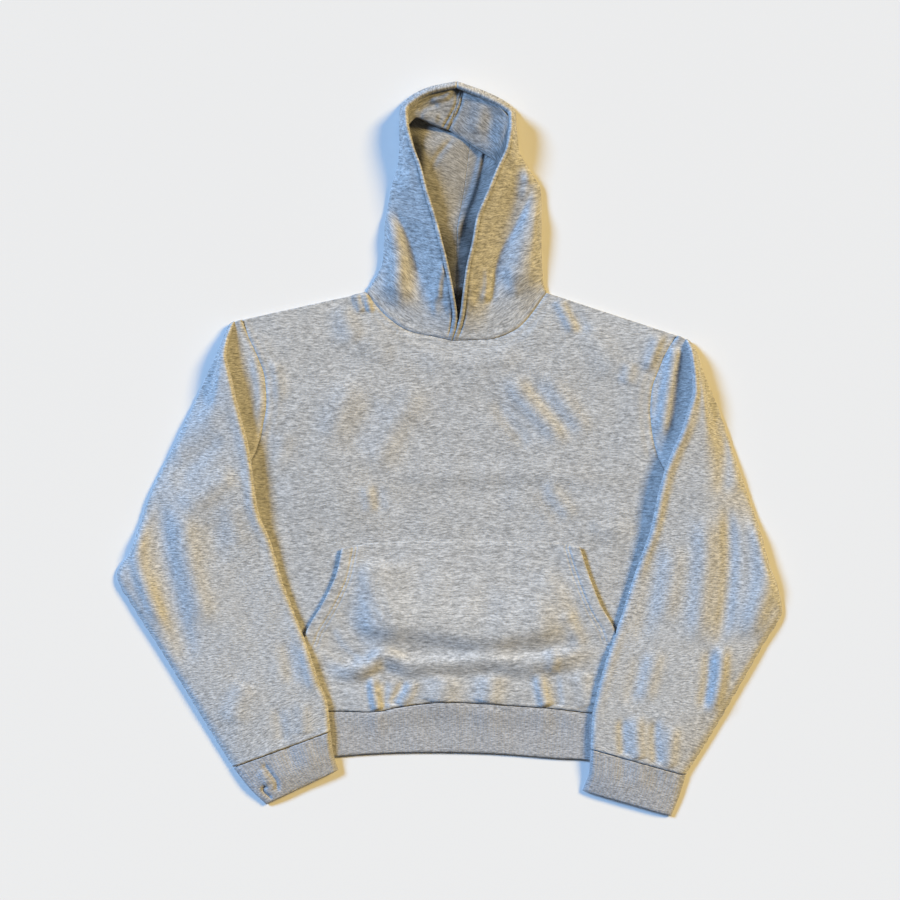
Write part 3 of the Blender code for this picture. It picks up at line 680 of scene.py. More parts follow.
FLEECE = (0.375, 0.379, 0.384)
RIB = (0.335, 0.338, 0.35)
fleece_body = fleece("marl_body", FLEECE, seed=1)
fleece_pocket = fleece("marl_pocket", shade_of(FLEECE, 1.03), seed=2)
fleece_back = fleece("marl_back", FLEECE, seed=3)
fleece_sleeve = fleece("marl_sleeve", shade_of(FLEECE, 1.03), flecks=1.22, seed=4)
fleece_hood = fleece("marl_hood", shade_of(FLEECE, 0.97), flecks=1.12, seed=6)
# a darker copy of the hood fleece: painted shade for the inside of the hood under the rims
fleece_painted_shade_inside = fleece("marl_inside_painted_shade", shade_of(FLEECE, 0.68), flecks=1.12, seed=6)
rib_body = fleece("marl_rib", RIB, streak=(6.0, 1.3), flecks=1.05, seed=8)
thread = thread_material("seam_thread", (0.40, 0.405, 0.41))


# Body ----------------------------------------------------------------------------------------------

def fold_limits(y):
    """x of the right and left sleeves' inner folds at a height y."""
    limits = []
    for table in (RIGHT_SLEEVE, LEFT_SLEEVE):
        lines = np.array([(row.fold_y, row.fold_x) for row in table])[::-1]
        limits.append(np.interp(y, lines[:, 0], lines[:, 1]))
    return limits


def body_line(table, hem):
    armhole = np.array([(row.seam_x, row.seam_y) for row in table[:ARMPIT_ROW + 1]], dtype=float)
    share = np.linspace(0, 1, 30)[1:, None]
    return np.vstack((smooth_line(armhole, 8), armhole[-1] * (1 - share) + np.array(hem) * share))


FACING = 17.0
FACING_GAP = 3.4


def hood_controls(row, index, lean):
    side_z = FRONT_Z if index == 0 else row.bump_z * 0.35 + BACK_Z
    spine = np.array((-lean * 0.42 * SEAM_GAP, row.spine_y + SEAM_GAP))
    side = np.array((row.side_x, row.side_y), dtype=float)
    valley = np.array((row.valley_x, row.valley_y), dtype=float)
    rim = np.array((row.rim_x, row.rim_y), dtype=float)
    upper = rim * 0.65 + valley * 0.35
    under = side * 0.94 + spine * 0.06
    middle = side * 0.5 + spine * 0.5
    start = np.array((*rim, row.rim_z))
    slope = np.array((*upper, row.valley_z + (row.rim_z - row.valley_z) * 0.62)) - start
    slope /= np.linalg.norm(slope)
    flat = math.hypot(slope[0], slope[1])
    inward = np.array((slope[0] / flat * slope[2], slope[1] / flat * slope[2], -flat))
    size = min(index, 2) / 2 * 0.9 + 0.1
    facing_end = start + slope * FACING * size + inward * FACING_GAP * size
    facing_start = start + slope * 3.0 * size + inward * FACING_GAP * size
    points = [
        (*facing_end, -2),
        (*facing_start, -1),
        (*rim, row.rim_z, 0),
        (*upper, row.valley_z + (row.rim_z - row.valley_z) * 0.62, 1),
        (*valley, row.valley_z, 2),
        (row.bump_x, row.bump_y, row.bump_z, 3),
        (*side, side_z, 4),
        (*under, BACK_Z, 5),
        (*middle, BACK_Z, 6),
        (*spine, BACK_Z, 7),
    ]
    return np.array(points)


def neck_line(table, lean, upper):
    line = smooth_line(hood_controls(table[0], 0, lean)[2:, :2], 8)
    side = 4 * 8
    if upper:
        return line[:side + 1]
    return line[:side - 1:-1]


NECK_FRONT = np.vstack((neck_line(RIGHT_HOOD, -1, True)[::-1], neck_line(LEFT_HOOD, 1, True)[1:]))
NECK_BACK = np.vstack((neck_line(RIGHT_HOOD, -1, False)[::-1], neck_line(LEFT_HOOD, 1, False)[1:]))
RIGHT_EDGE = body_line(RIGHT_SLEEVE, RIGHT_HEM)
LEFT_EDGE = body_line(LEFT_SLEEVE, LEFT_HEM)
HEM_LINE = free_line(HEM_CURVE, 12)
RIB_LINE = free_line(RIB_CURVE, 12)


def front_height(x, y):
    """Middle surface of the front body."""
    right, left = fold_limits(y)
    inside = smooth_step((x - right - 4) / 46) * smooth_step((left - 4 - x) / 46)
    top = smooth_step((200 - y) / 70)
    base = 1.9 * inside * top
    folds = crease_height(x, y, FRONT_CREASES) * (0.35 + 0.65 * inside)
    folds += soft_waves(x, y, 7, 120, 0.42) * inside + soft_waves(x, y, 8, 46, 0.16) * inside
    raised = base + folds
    return FRONT_Z + np.where(raised > 0.4, raised, 0.4 * np.exp(np.minimum(raised - 0.4, 0) / 0.8))


def panel_grid(neck, cells):
    right_tip, left_tip = RIGHT_EDGE[0], LEFT_EDGE[0]
    shoulder = np.linspace(0, 1, 20)[:, None]
    top = np.vstack((right_tip * (1 - shoulder) + neck[0] * shoulder, neck[1:-1],
                     neck[-1] * (1 - shoulder) + left_tip * shoulder))
    shares = dense_ends(cells, 0.65, 0.65)
    top = resample(top, shares)
    bottom = resample(HEM_LINE, shares)
    down = dense_ends(cells)
    right = resample(RIGHT_EDGE, down)
    left = resample(LEFT_EDGE, down)
    return fill_between(top, bottom, right, left)


def build_front():
    plan = panel_grid(NECK_FRONT, FRONT_CELLS)
    x, y = plan[..., 0], plan[..., 1]
    z = front_height(x, y)
    edge = np.minimum(line_distance(x, y, RIGHT_EDGE), line_distance(x, y, LEFT_EDGE))
    neck = line_distance(x, y, NECK_FRONT)
    hem = line_distance(x, y, HEM_LINE)
    z = FRONT_Z + (z - FRONT_Z) * smooth_step(np.minimum(np.minimum(edge, neck), hem * 2 + 10) / 16)
    for away, height in ((edge, 0.45), (neck, 0.5)):
        z += height * bell(away - 4.0, 3.4) - 0.7 * bell(away, 1.3)
    z += 0.7 * bell(hem - 1.8, 2.2)
    over_pocket = smooth_step((x + 180) / 12) * smooth_step((188 - x) / 12)
    z -= 1.1 * over_pocket * bell(hem, 8)
    pucker = 0.5 * np.sin(x * 2 * math.pi / 13 + np.sin(x / 17) * 2) * bell(hem - 8, 7)
    z += pucker + crease_height(x, y, NECK_FOLDS) + crease_height(x, y, ARMHOLE_RISE)
    # the sides fold down to the back panel below the arms
    for column in (0, -1):
        below_arm = y[:, column] < RIGHT_SLEEVE[ARMPIT_ROW].seam_y
        z[below_arm, column] = EDGE_Z + SEAM_GAP
    grid = np.dstack((x, y, z))
    return make_piece("front_body", [shell(grid, grid_uv(grid))], fleece_body)


def build_back():
    plan = panel_grid(NECK_BACK, BACK_CELLS)
    x, y = plan[..., 0], plan[..., 1]
    z = np.full_like(x, BACK_Z)
    grid = np.dstack((x, y, z))
    return make_piece("back_body", [shell(grid, grid_uv(grid))], fleece_back)


RIGHT_POCKET_SIDE = [(-138, -118), (-145, -150), (-160, -182), (-182, -222), (-184, -262), (-184, -313)]
LEFT_POCKET_SIDE = [(148, -116), (158, -148), (173, -186), (190, -218), (192, -262), (192, -315)]


def pocket_lines():
    right = free_line(RIGHT_POCKET_SIDE, 8)
    left = free_line(LEFT_POCKET_SIDE, 8)
    top = free_line([right[0], (-90, -110.5), (5, -109), (100, -110), left[0]], 12)
    return right, left, top


def pocket_height(x, y):
    right, left, top = pocket_lines()
    under = front_height(x, y) + LAYER
    z = np.maximum(under + 0.2 + crease_height(x, y, POCKET_CREASES), under)
    opening = np.minimum(line_distance(x, y, right[:26]), line_distance(x, y, left[:26]))
    edge = line_distance(x, y, top)
    z += 3.0 * bell(opening, 20)
    z -= 0.9 * bell(opening - 13.5, 1.1) + 0.7 * bell(opening - 17.5, 1.1)
    z -= 0.7 * bell(edge, 1.6)
    z -= 0.25 * bell(edge - 3.2, 1.0)
    hem = line_distance(x, y, HEM_LINE)
    z += 0.7 * bell(hem - 1.8, 2.2) - 0.9 * bell(hem, 5)
    return z


def build_pocket():
    right, left, top = pocket_lines()
    shares = dense_ends(POCKET_COLUMNS)
    down = dense_ends(POCKET_ROWS)
    right, left = resample(right, down), resample(left, down)
    top = resample(top, shares)
    bottom_x = right[-1][0] + (left[-1][0] - right[-1][0]) * shares
    bottom = np.stack((bottom_x, np.interp(bottom_x, HEM_LINE[:, 0], HEM_LINE[:, 1]) + 0.8), axis=1)
    right[-1], left[-1] = bottom[0], bottom[-1]
    plan = fill_between(top, bottom, right, left)
    x, y = plan[..., 0], plan[..., 1]
    grid = np.dstack((x, y, pocket_height(x, y)))
    ends = ("first_row", "first_column", "last_column")
    return make_piece("front_pocket", [shell(grid, grid_uv(grid), round_ends=ends)], fleece_pocket)


RIB_PITCH = 3.4
RIB_DEPTH = 58
RIB_ROUND = 2


def build_hem():
    shares = np.linspace(0, 1, HEM_COLUMNS)
    seam = resample(HEM_LINE, shares) - (0, SEAM_GAP)
    end = resample(RIB_LINE, shares)
    along = arc_lengths(seam)
    over_pocket = smooth_step((seam[:, 0] + 192) / 16) * smooth_step((200 - seam[:, 0]) / 16)
    above = pocket_height(seam[:, 0], seam[:, 1] + 1.5) - FRONT_Z
    above = np.convolve(np.pad(above, 20, mode="edge"), np.ones(41) / 41, mode="valid")
    lift = None
    rows = []
    depths = np.concatenate((np.linspace(0, 0.1, 8)[:-1], np.linspace(0.1, 0.92, 22)[:-1],
                             np.linspace(0.92, 1, 7)))
    for share in depths:
        line = seam * (1 - share) + end * share
        x, y = line[:, 0], line[:, 1]
        away = share * RIB_DEPTH
        lump = soft_waves(x, y * 0.5, 11, 60, 0.30) + 0.8 * math.sin(math.pi * share) + 0.5
        lump = lump + crease_height(x, y, HEM_CREASES)
        rib = 0.10 * np.cos(along * 2 * math.pi / RIB_PITCH) * smooth_step(away / 5)
        base = np.maximum(lump, 0) * smooth_step(min((away + 3) / 8, (RIB_DEPTH - away) / 2.2, 1))
        if lift is None:
            lift = over_pocket * np.clip(above - base, 0, 7) + (1 - over_pocket) * 0.6
        past = max(0.0, (away - RIB_DEPTH + RIB_ROUND) / RIB_ROUND)
        rounding = 0.5 * (1 - math.sqrt(max(0.0, 1 - past ** 2)))
        upper = np.column_stack((line, FRONT_Z + base + rib + lift * bell(away, 18) - rounding))
        low = line[::-2]
        lower = np.column_stack((low, np.full(len(low), BACK_Z)))
        left_edge = np.array([[line[-1][0] + LAYER / 2, line[-1][1], EDGE_Z]])
        right_edge = np.array([[line[0][0] - LAYER / 2, line[0][1], EDGE_Z]])
        rows.append(np.concatenate((right_edge, upper, left_edge, lower, right_edge)))
    grid = np.array(rows)
    return make_piece("hem_band", [shell(grid, grid_uv(grid), ring_from=0)], rib_body)


HEM_CREASES = crease_table([
    ([(10, -304), (50, -308), (92, -309)], 7, -1.2),
    ([(-97, -314), (-96, -330), (-92, -350)], 8, 1.0, 0.05, 0.6),
    ([(34, -304), (36, -324), (40, -346)], 14, 1.0, 0.05, 0.6),
    ([(122, -311), (124, -330), (128, -350)], 8, -0.8, 0.05, 0.6),
    ([(104, -310), (104, -330), (104, -350)], 9, 0.8, 0.05, 0.6),
])


# Sleeves and cuffs ---------------------------------------------------------------------------------

def side_x(y, armpit, hem):
    share = (y - armpit[1]) / (hem[1] - armpit[1])
    return armpit[0] + (hem[0] - armpit[0]) * min(max(share, 0.0), 1.0)


def plan_point(start, end, share):
    return (start[0] + (end[0] - start[0]) * share, start[1] + (end[1] - start[1]) * share)


def sleeve_section(row, index, armpit, hem, outward):
    seam = (row.seam_x + outward * SEAM_GAP * 1.4, row.seam_y)
    fold = (row.fold_x, row.fold_y)
    outer = (row.outer_x, row.outer_y)
    width = math.dist(fold, outer)
    crosses = (row.fold_x - row.seam_x) * outward < 12
    if index >= ARMPIT_ROW:
        share = abs(row.fold_x - side_x(row.fold_y, armpit, hem)) / abs(row.fold_x - row.outer_x)
        turn = plan_point(fold, outer, share)
        if index == ARMPIT_ROW:
            turn = (armpit[0] + outward * UNDERARM_REACH, armpit[1] + 1)
        start = (*turn, ON_FRONT_Z)
        end = start
        valley = (*plan_point(turn, fold, 0.5), row.lift)
        foot = (*plan_point(fold, outer, 7 / width), row.lift)
        floor_start = plan_point(fold, outer, min(share + STEP_RUN / width, 0.85))
    elif crosses:
        start = (*seam, ON_FRONT_Z)
        end = (*seam, BACK_Z)
        valley = (seam[0] + outward * 0.5, seam[1], ON_FRONT_Z + 1)
        foot = (*plan_point(fold, outer, 3 / width), row.lift + 2)
        floor_start = seam
    else:
        start = (*seam, FRONT_Z)
        end = (*seam, BACK_Z)
        valley = (*plan_point(seam, fold, 0.5), row.lift)
        foot = (*plan_point(fold, outer, min(4 / width, 0.2)), row.lift)
        floor_start = seam
    round_share = min(15 / width, 0.36)
    level = row.crown + 0.8
    round_z = row.ridge + (level - row.ridge) * (1.0 if outward > 0 else 0.55)
    points = [
        start,
        valley,
        foot,
        (*fold, (row.lift + row.ridge) / 2),
        (*plan_point(fold, outer, min((2.4 if index < ARMPIT_ROW else 3.4) / width, 0.3)), row.ridge),
        (*plan_point(fold, outer, round_share), round_z),
        (*plan_point(fold, outer, 0.5), row.crown),
        (*plan_point(outer, fold, min(10 / width, 0.3)), min(row.crown * 0.6, 8.0) + 1.0),
        (*outer, min(row.crown * 0.25, 2.6) + BACK_Z),
        (*plan_point(outer, fold, min(6 / width, 0.3)), BACK_Z),
        (*plan_point(outer, floor_start, 0.6), BACK_Z),
        (*plan_point(outer, floor_start, 0.96), BACK_Z),
        end,
    ]
    places = [0, 1, 2, 3, 4, 4.4, 5, 6, 7, 8, 9, 10, 11]
    return np.array([(*point, place) for place, point in zip(places, points)])


SECTION_SAMPLES = 104
ROWS_A_SPAN = 15
CUFF_SAMPLES = 270
CUFF_RIB_PITCH = 3.3


def sleeve_grid(table, hem, outward):
    armpit = (table[ARMPIT_ROW].seam_x, table[ARMPIT_ROW].seam_y)
    controls = np.array([sleeve_section(row, index, armpit, hem, outward) for index, row in enumerate(table)])
    down = smooth_line(controls, ROWS_A_SPAN)
    shares = np.linspace(0, 1, SECTION_SAMPLES + 1)
    return np.array([resample(smooth_line(section, 12), shares) for section in down])


def build_sleeve(table, hem, outward, creases, valley_creases, seed):
    grid, place, x, y = with_places(sleeve_grid(table, hem, outward))
    top = smooth_step((place - 3.1) / 1.1) * smooth_step((7.0 - place) / 0.9)
    folds = 1.5 * crease_height(x, y, creases)
    waves = soft_waves(x, y, seed, 90, 0.5) + soft_waves(x, y, seed + 1, 38, 0.2)
    # a trough goes down no further than the layers under it
    room = np.maximum(grid[..., 2] - (BACK_Z + LAYER + 0.6), 0.0)
    drop = np.minimum(folds + waves, 0)
    rise = np.maximum(folds + waves, 0)
    grid[..., 2] += top * (rise - room * (1 - np.exp(drop / np.maximum(room, 0.01))))
    # the seam with the cuff
    away = np.linalg.norm(grid[-1:] - grid, axis=2)
    grid[..., 2] += top * 0.7 * bell(away - 1.8, 2.2)
    # the armhole and the valley beside it
    armhole = np.array([(row.seam_x, row.seam_y) for row in table[:ARMPIT_ROW]], dtype=float)
    near = line_distance(x, y, smooth_line(armhole, 6))
    beside = smooth_step((2.2 - place) / 0.8)
    grid[..., 2] += beside * smooth_step(near / 7) * crease_height(x, y, valley_creases)
    grid[..., 2] += beside * crease_height(x, y, ARMHOLE_RISE)
    grid[..., 2] += beside * (0.4 * bell(near - 4.0, 3.4) - 0.9 * bell(near, 1.3))
    return grid, place


def layer_under(x, y):
    past_side = np.maximum(RIGHT_HEM[0] - x, x - LEFT_HEM[0])
    past_end = np.interp(x, RIB_LINE[:, 0], RIB_LINE[:, 1]) - y
    drop = smooth_step((np.maximum(past_side, past_end) - CLEAR_OF_EDGE) / STEP_RUN)
    return ON_FRONT_Z + (BACK_Z - ON_FRONT_Z) * drop


def cuff_section(row):
    inner = (row.inner_x, row.inner_y)
    outer = (row.outer_x, row.outer_y)
    width = math.dist(inner, outer)
    under = []
    for share in (5 / width, 0.25, 0.45, 0.65, 0.82, 1 - 5 / width):
        place = plan_point(inner, outer, share)
        under.append((*place, float(layer_under(*place)), 1.0))
    over = []
    for share in (1 - 6 / width, 0.75, 0.5, 0.25, 6 / width):
        place = plan_point(inner, outer, share)
        rise = row.height * (0.75 if abs(share - 0.5) > 0.3 else 1.0)
        over.append((*place, float(layer_under(*place)) + rise, 3.0))
    outer_z = (under[-1][2] + over[0][2]) / 2
    inner_z = (under[0][2] + over[-1][2]) / 2
    ends = [(*inner, inner_z, 2.0)]
    return np.array(ends + under + [(*outer, outer_z, 2.0)] + over + ends)


def sample_height(shares, heights, wanted):
    order = np.argsort(shares)
    return np.interp(wanted, shares[order], heights[order])


def build_cuff(name, table, sleeve_end):
    controls = np.array([cuff_section(row) for row in table])
    down = smooth_line(controls, 16)
    shares = np.linspace(0, 1, CUFF_SAMPLES + 1)
    grid, place, x, y = with_places(np.array([resample(smooth_line(section, 8), shares) for section in down]))
    top = smooth_step((place - 2.1) / 0.7)
    # the first row rises to the sleeve's end
    away = np.linalg.norm(grid[:1] - grid, axis=2)
    inner, outer = np.array(table[0][:2], dtype=float), np.array(table[0][2:4], dtype=float)
    across = (outer - inner) / ((outer - inner) @ (outer - inner))
    share = (grid[0, :, :2] - inner) @ across
    upper = place[0] > 2.0
    cuff_z = sample_height(share[upper], grid[0, upper, 2], share)
    sleeve_share = (sleeve_end[:, :2] - inner) @ across
    rise = np.clip(sample_height(sleeve_share, sleeve_end[:, 2], share) - cuff_z, -3, 9)
    grid[..., 2] += top * rise[None, :] * bell(away, 24)
    girth = arc_lengths(grid[len(grid) // 2])
    ribs = round(girth[-1] / CUFF_RIB_PITCH)
    phase = girth / girth[-1] * ribs * 2 * math.pi
    rib = 0.14 * np.cos(phase)[None, :] * smooth_step(away / 5)
    grid[..., 2] += top * rib
    grid[..., 2] += top * crease_height(x, y, CUFF_CREASES)
    grid[..., 2] -= top * 0.2 * bell(away, 1.5)
    end = np.linalg.norm(grid[-1:] - grid, axis=2)
    grid[..., 2] -= top * 0.8 * bell(end, 1.6)
    return make_piece(name, [shell(grid, arc_uv(grid), ring_from=0)], rib_body)


# Hood ----------------------------------------------------------------------------------------------

def hood_grid(table, lean):
    controls = np.array([hood_controls(row, index, lean) for index, row in enumerate(table)])
    down = smooth_line(controls, 13)
    shares = dense_ends(140, 0.7, 0.0)
    full = np.array([resample(smooth_line(section, 10), shares) for section in down])
    full[..., 0] += lean * SEAM_GAP / 2
    return full


CrownPoint = namedtuple("CrownPoint", "back_x back_y back_z edge_x edge_y edge_z")
CROWN = [CrownPoint(*row) for row in [
    (-64, 394, 22, -60, 388, 17),
    (-62, 404, 22, -48, 398, 16),
    (-52, 414, 20, -38, 395, 14.5),
    (-33, 425, 18, -30, 391, 13),
    (-12, 431, 16, -20, 387, 12),
    (7, 433, 15, -10, 384, 11),
    (22, 428, 17, 4, 375, 10),
    (38, 418, 20, 20, 364, 10),
    (55, 406, 24, 34, 355, 12),
    (63, 392, 27, 44, 348, 14),
    (62, 372, 26, 54, 336, 15),
]]


CROWN_STEPS = 9
CROWN_SEAM = 5 * CROWN_STEPS
CROWN_CLOTH = 1.8


def crown_fold():
    """The crown pushed down into the hood: from the rim down to a fold, and back under it."""
    back = smooth_line([(p.back_x, p.back_y, p.back_z) for p in CROWN], CROWN_STEPS)
    edge = smooth_line([(p.edge_x, p.edge_y, p.edge_z) for p in CROWN], CROWN_STEPS)
    rows = []
    for a, b in zip(back, edge):
        run = b - a
        points = [
            a,
            a + run * 0.16 + (0, 0, -1.0),
            a + run * 0.40 + (0, 0, 0.0),
            a + run * 0.70 + (0, 0, 0.8),
            a + run * 0.93 + (0, 0, 0.8),
            b + (0, 0, -1.2),
            b - run * 0.04 + (0, 0, -3.6),
            b - run * 0.22 + (0, 0, -5.2),
            b - run * 0.40 + (0, 0, -6.2),
        ]
        rows.append(resample(smooth_line(points, 8), np.linspace(0, 1, 61)))
    grid = np.array(rows).transpose(1, 0, 2)
    x, y = grid[..., 0].copy(), grid[..., 1].copy()
    grid[..., 2] += crease_height(x, y, CROWN_CREASES)
    grid[..., 2] = np.maximum(grid[..., 2], BACK_Z + LAYER)
    return grid


CROWN_CREASES = crease_table([
    ([(8, 436), (6, 422), (3, 410), (-10, 384)], 1.6, -3.4, 0.02, 0.02),
    ([(1, 436), (0, 422), (-3, 410), (-16, 387)], 1.4, -2.4, 0.02, 0.02),
    ([(-33, 418), (-17, 421), (-10, 426), (-4, 432)], 3.5, 3.4),
    ([(-46, 404), (-36, 411), (-20, 414)], 4, -2.4),
    ([(-44, 400), (-34, 400), (-20, 396)], 5, 1.6),
    ([(30, 420), (26, 400), (20, 376)], 9, 2.4),
    ([(44, 408), (40, 388), (36, 364)], 7, -2.0),
    ([(60, 400), (56, 380), (50, 350)], 8, 3.4),
])


def build_hood(name, table, lean):
    grid, place, x, y = with_places(hood_grid(table, lean))
    top = smooth_step((3.9 - place) / 0.6)
    rows = np.arange(len(grid))[:, None] / (len(grid) - 1)
    off_neck = smooth_step(rows * len(grid) / 10)
    folds = crease_height(x, y, HOOD_CREASES) + soft_waves(x, y, 21, 70, 0.5)
    grid[..., 2] += top * off_neck * np.maximum(folds, BACK_Z + LAYER - grid[..., 2])
    # the rim is a turned hem
    length = np.zeros_like(x)
    length[:, 1:] = np.cumsum(np.linalg.norm(np.diff(grid, axis=1), axis=2), axis=1)
    turn = np.array([np.interp(0.0, place[row], length[row]) for row in range(len(grid))])[:, None]
    away = length - turn
    hem = 0.5 * smooth_step((6.0 - away) / 1.2) - 3.4 * bell(away - 5.2, 1.1)
    grid += lean * grid_normals(grid) * (hem * off_neck * (away > 0) * top)[..., None]
    # the neck seam
    neck = np.linalg.norm(grid - grid[:1], axis=2)
    grid[..., 2] += top * (0.6 * bell(neck - 4.0, 2.8) - bell(neck, 1.5))
    # the inside of the back of the hood, seen through the opening
    low = smooth_step((place - 5.4) / 0.5)
    rim_x = np.interp(y, [row.rim_y for row in table], [row.rim_x for row in table])
    in_mouth = smooth_step(((rim_x - x) * lean + 26) / 16)
    grid[..., 2] += low * in_mouth * np.maximum(crease_height(x, y, INSIDE_CREASES), 0)
    shift = np.interp(grid[..., 1], (230, 263, 306, 354, 372, 386), (0, 0, 8, 14, 17, 12))
    grid[..., 0] += shift * smooth_step((place - 5.6) / 1.2)
    shells = [shell(grid, arc_uv(grid, 7.0))]
    # the crown's fold is cut at the centre seam
    fold = crown_fold()
    part = fold[:, :CROWN_SEAM + 1] if lean < 0 else fold[:, CROWN_SEAM:] + (SEAM_GAP, 0, 0)
    shells.append(shell(part, arc_uv(part, 90.0), thickness=CROWN_CLOTH))
    # the faces that show inside the hood and the crown's fold take a darker copy of the hood fleece: painted
    # shade for the hollow under the rims
    corner_place = np.concatenate((place.ravel(), place.ravel()))
    inside = [(corner_place[shells[0][1]].mean(axis=1) > 4.6), np.ones(len(shells[1][1]), bool)]
    return make_piece(name, shells, fleece_hood, fleece_painted_shade_inside, np.concatenate(inside))


INSIDE_CREASES = crease_table([
    ([(0, 182), (2, 214), (2, 250), (0, 300)], 27, 19.0, 0.12, 0.6),
    ([(-16, 236), (-34, 280), (-48, 330), (-52, 392)], 44, 17.0, 0.2, 0.2),
    ([(-17, 378), (-28, 354), (-38, 328)], 3, -2.2),
    ([(19, 366), (17, 350), (12, 316), (3, 270), (0, 232)], 4, 2.6, 0.1, 0.3),
    ([(34, 240), (52, 290), (60, 330), (66, 380)], 30, 10.0, 0.2, 0.35),
])


# Stitches ------------------------------------------------------------------------------------------

def tree_of(pieces):
    vertices, faces = [], []
    start = 0
    for piece in pieces:
        mesh = piece.data
        points = np.zeros(len(mesh.vertices) * 3)
        mesh.vertices.foreach_get("co", points)
        vertices += points.reshape(-1, 3).tolist()
        faces += [[v + start for v in face.vertices] for face in mesh.polygons]
        start = len(vertices)
    return BVHTree.FromPolygons(vertices, faces)


STITCH_PITCH = 3.1
STITCH_LENGTH = 2.2
STITCH_WIDTH = 0.5
STITCH_SINK = 0.14


def stitch_row(line, offset, tree):
    """Short threads beside a plan line, laid on what is under them."""
    along = arc_lengths(line)
    verts, faces = [], []
    for centre in (np.arange(max(int(along[-1] / STITCH_PITCH), 2)) + 0.5) * STITCH_PITCH:
        if centre > along[-1]:
            break
        before, point, after = (np.array([np.interp(centre + step, along, line[:, axis]) for axis in (0, 1)])
                                for step in (-0.6, 0, 0.6))
        way = (after - before) / max(np.linalg.norm(after - before), 1e-9)
        across = np.array([-way[1], way[0]])
        point = point + across * offset
        ends = []
        for share in (-0.5, -0.25, 0.25, 0.5):
            place = point + way * STITCH_LENGTH * share
            hit = tree.ray_cast(Vector((place[0] * MM, place[1] * MM, 0.2)), Vector((0, 0, -1)))
            if hit[0] is None:
                ends = None
                break
            ends.append((place, hit[0].z / MM))
        if ends is None:
            continue
        start = len(verts)
        sink = (STITCH_SINK + 0.01, STITCH_SINK, STITCH_SINK, STITCH_SINK + 0.01)
        for (place, z), size, down in zip(ends, (0.35, 1.0, 1.0, 0.35), sink):
            for turn in range(5):
                angle = math.pi * turn / 4
                out = across * math.cos(angle) * STITCH_WIDTH / 2 * size
                up = math.sin(angle) * STITCH_WIDTH / 2 * size - down
                verts.append((place[0] + out[0], place[1] + out[1], z + up))
        for ring in range(3):
            for turn in range(4):
                a = start + ring * 5 + turn
                faces.append((a, a + 1, a + 6, a + 5))
    return verts, faces


def build_stitches(name, rows, material):
    vertices, faces = [], []
    for verts, quads in rows:
        start = len(vertices)
        vertices += [(v[0] * MM, v[1] * MM, v[2] * MM) for v in verts]
        faces += [tuple(i + start for i in quad) for quad in quads]
    return mesh_object(name, vertices, faces, material)


# Making it all -------------------------------------------------------------------------------------

front = build_front()
back = build_back()
pocket = build_pocket()
hem = build_hem()
sleeves, sleeve_ends = [], []
for name, *sleeve in (
        ("arm_right", RIGHT_SLEEVE, RIGHT_HEM, -1, RIGHT_SLEEVE_CREASES, RIGHT_VALLEY_CREASES, 31),
        ("arm_left", LEFT_SLEEVE, LEFT_HEM, 1, LEFT_SLEEVE_CREASES, LEFT_VALLEY_CREASES, 41)):
    grid, place = build_sleeve(*sleeve)
    sleeve_ends.append(grid[-1, (place[-1] > 3.0) & (place[-1] < 7.0)])
    ring = ARMPIT_ROW * ROWS_A_SPAN
    sleeves.append(make_piece(name, [shell(grid, arc_uv(grid), ring_from=ring)], fleece_sleeve))
arm_right, arm_left = sleeves
wrist_right = build_cuff("wrist_right", RIGHT_CUFF, sleeve_ends[0])
wrist_left = build_cuff("wrist_left", LEFT_CUFF, sleeve_ends[1])
cowl_right = build_hood("cowl_right", RIGHT_HOOD, -1)
cowl_left = build_hood("cowl_left", LEFT_HOOD, 1)

cloth_tree = tree_of([front, pocket, hem, arm_right, arm_left, wrist_right, wrist_left, cowl_right,
                      cowl_left])
pocket_right, pocket_left, pocket_top = pocket_lines()
opening_right = pocket_right[:27][::-1]
opening_left = pocket_left[:27]
stitched = [(NECK_FRONT, -3.0), (NECK_FRONT, -6.0), (opening_right, -13), (opening_left, -13),
            (opening_right, -17), (opening_left, -17), (pocket_top, -3.2), (HEM_LINE, 3.4), (HEM_LINE, 6.6)]
rows = [stitch_row(line, offset, cloth_tree) for line, offset in stitched]
seams = build_stitches("seam_stitches", rows, thread)

flats = [
    (front, "front_panel", "fleece", (0.545, 0.50), 0.236, "laid", ["back_body"]),
    (back, "back_panel", "fleece", (0.545, 0.52), 0.243, "laid", []),
    (pocket, "pocket", "fleece", (0.385, 0.21), 0.069, "laid", ["front_body"]),
    (hem, "hem_rib", "rib", (0.92, 0.06), None, "laid", []),
    (arm_right, "sleeve_right", "fleece", (0.40, 0.55), 0.139, "laid", ["front_body"]),
    (arm_left, "sleeve_left", "fleece", (0.40, 0.55), 0.139, "laid", ["front_body"]),
    (wrist_right, "cuff_right", "rib", (0.24, 0.055), None, "laid", ["hem_band"]),
    (wrist_left, "cuff_left", "rib", (0.24, 0.055), None, "laid", ["hem_band"]),
    (cowl_right, "hood_right", "fleece", (0.21, 0.35), 0.058, "laid", []),
    (cowl_left, "hood_left", "fleece", (0.21, 0.35), 0.058, "laid", []),
]
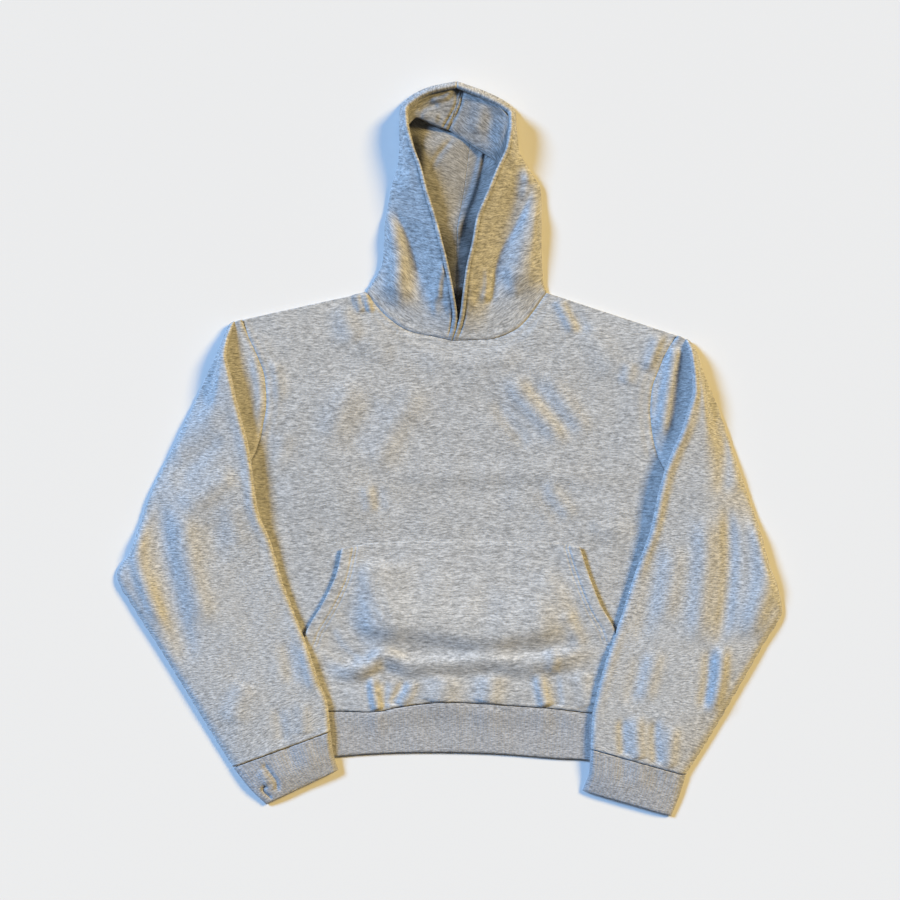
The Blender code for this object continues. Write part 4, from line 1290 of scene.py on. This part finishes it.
for piece, cad, slot, flat, area, held, rests in flats:
    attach(piece, "root")
    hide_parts(cad)
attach(seams, "root")


# Floor, light and camera ---------------------------------------------------------------------------

# In metres
FLOOR_REACH = 6.0
FLOOR_GAP = 0.0002


def build_floor():
    material, tree, shader = new_material("floor")
    noise = node(tree, "ShaderNodeTexNoise")
    noise.inputs["Scale"].default_value = 3.0
    colour_ramp(tree, noise.outputs["Fac"], shader, (0.70, 0.70, 0.70), (0.74, 0.74, 0.735))
    shader.inputs["Roughness"].default_value = 0.9
    corners = [(FLOOR_REACH * a, FLOOR_REACH * b, 0) for a, b in ((-1, -1), (1, -1), (1, 1), (-1, 1))]
    floor = mesh_object("floor", corners, [(0, 1, 2, 3)], material)
    floor.location.z = -FLOOR_GAP
    return floor


# In degrees: the softness of the suns
SUN_ANGLE = 18


def sun(name, direction, strength, colour):
    light = bpy.data.lights.new(name, "SUN")
    light.energy = strength
    light.color = colour
    light.angle = math.radians(SUN_ANGLE)
    thing = bpy.data.objects.new(name, light)
    thing.rotation_mode = "QUATERNION"
    thing.rotation_quaternion = Vector(direction).to_track_quat("-Z", "Y")
    bpy.context.scene.collection.objects.link(thing)


build_floor()
sun("cool_left", (1.0, -0.55, -0.80), 4.85, (0.36, 0.61, 1.0))
sun("warm_right", (-1.0, -0.55, -0.80), 4.15, (1.0, 0.715, 0.27))

world = bpy.data.worlds.new("studio")
world.use_nodes = True
world.node_tree.nodes["Background"].inputs["Color"].default_value = (0.95, 0.97, 1.0, 1.0)
world.node_tree.nodes["Background"].inputs["Strength"].default_value = 0.09
bpy.context.scene.world = world
bpy.context.scene.view_settings.view_transform = "Standard"

LENS = 120.0
SENSOR = 36.0
VIEW_WIDTH = 1.08
camera_data = bpy.data.cameras.new("camera")
camera_data.lens = LENS
camera_data.sensor_width = SENSOR
camera_data.clip_end = 50.0
camera = bpy.data.objects.new("camera", camera_data)
camera.location = (-0.008, 0.0, VIEW_WIDTH * LENS / SENSOR + 0.006)
bpy.context.scene.collection.objects.link(camera)
bpy.context.scene.camera = camera
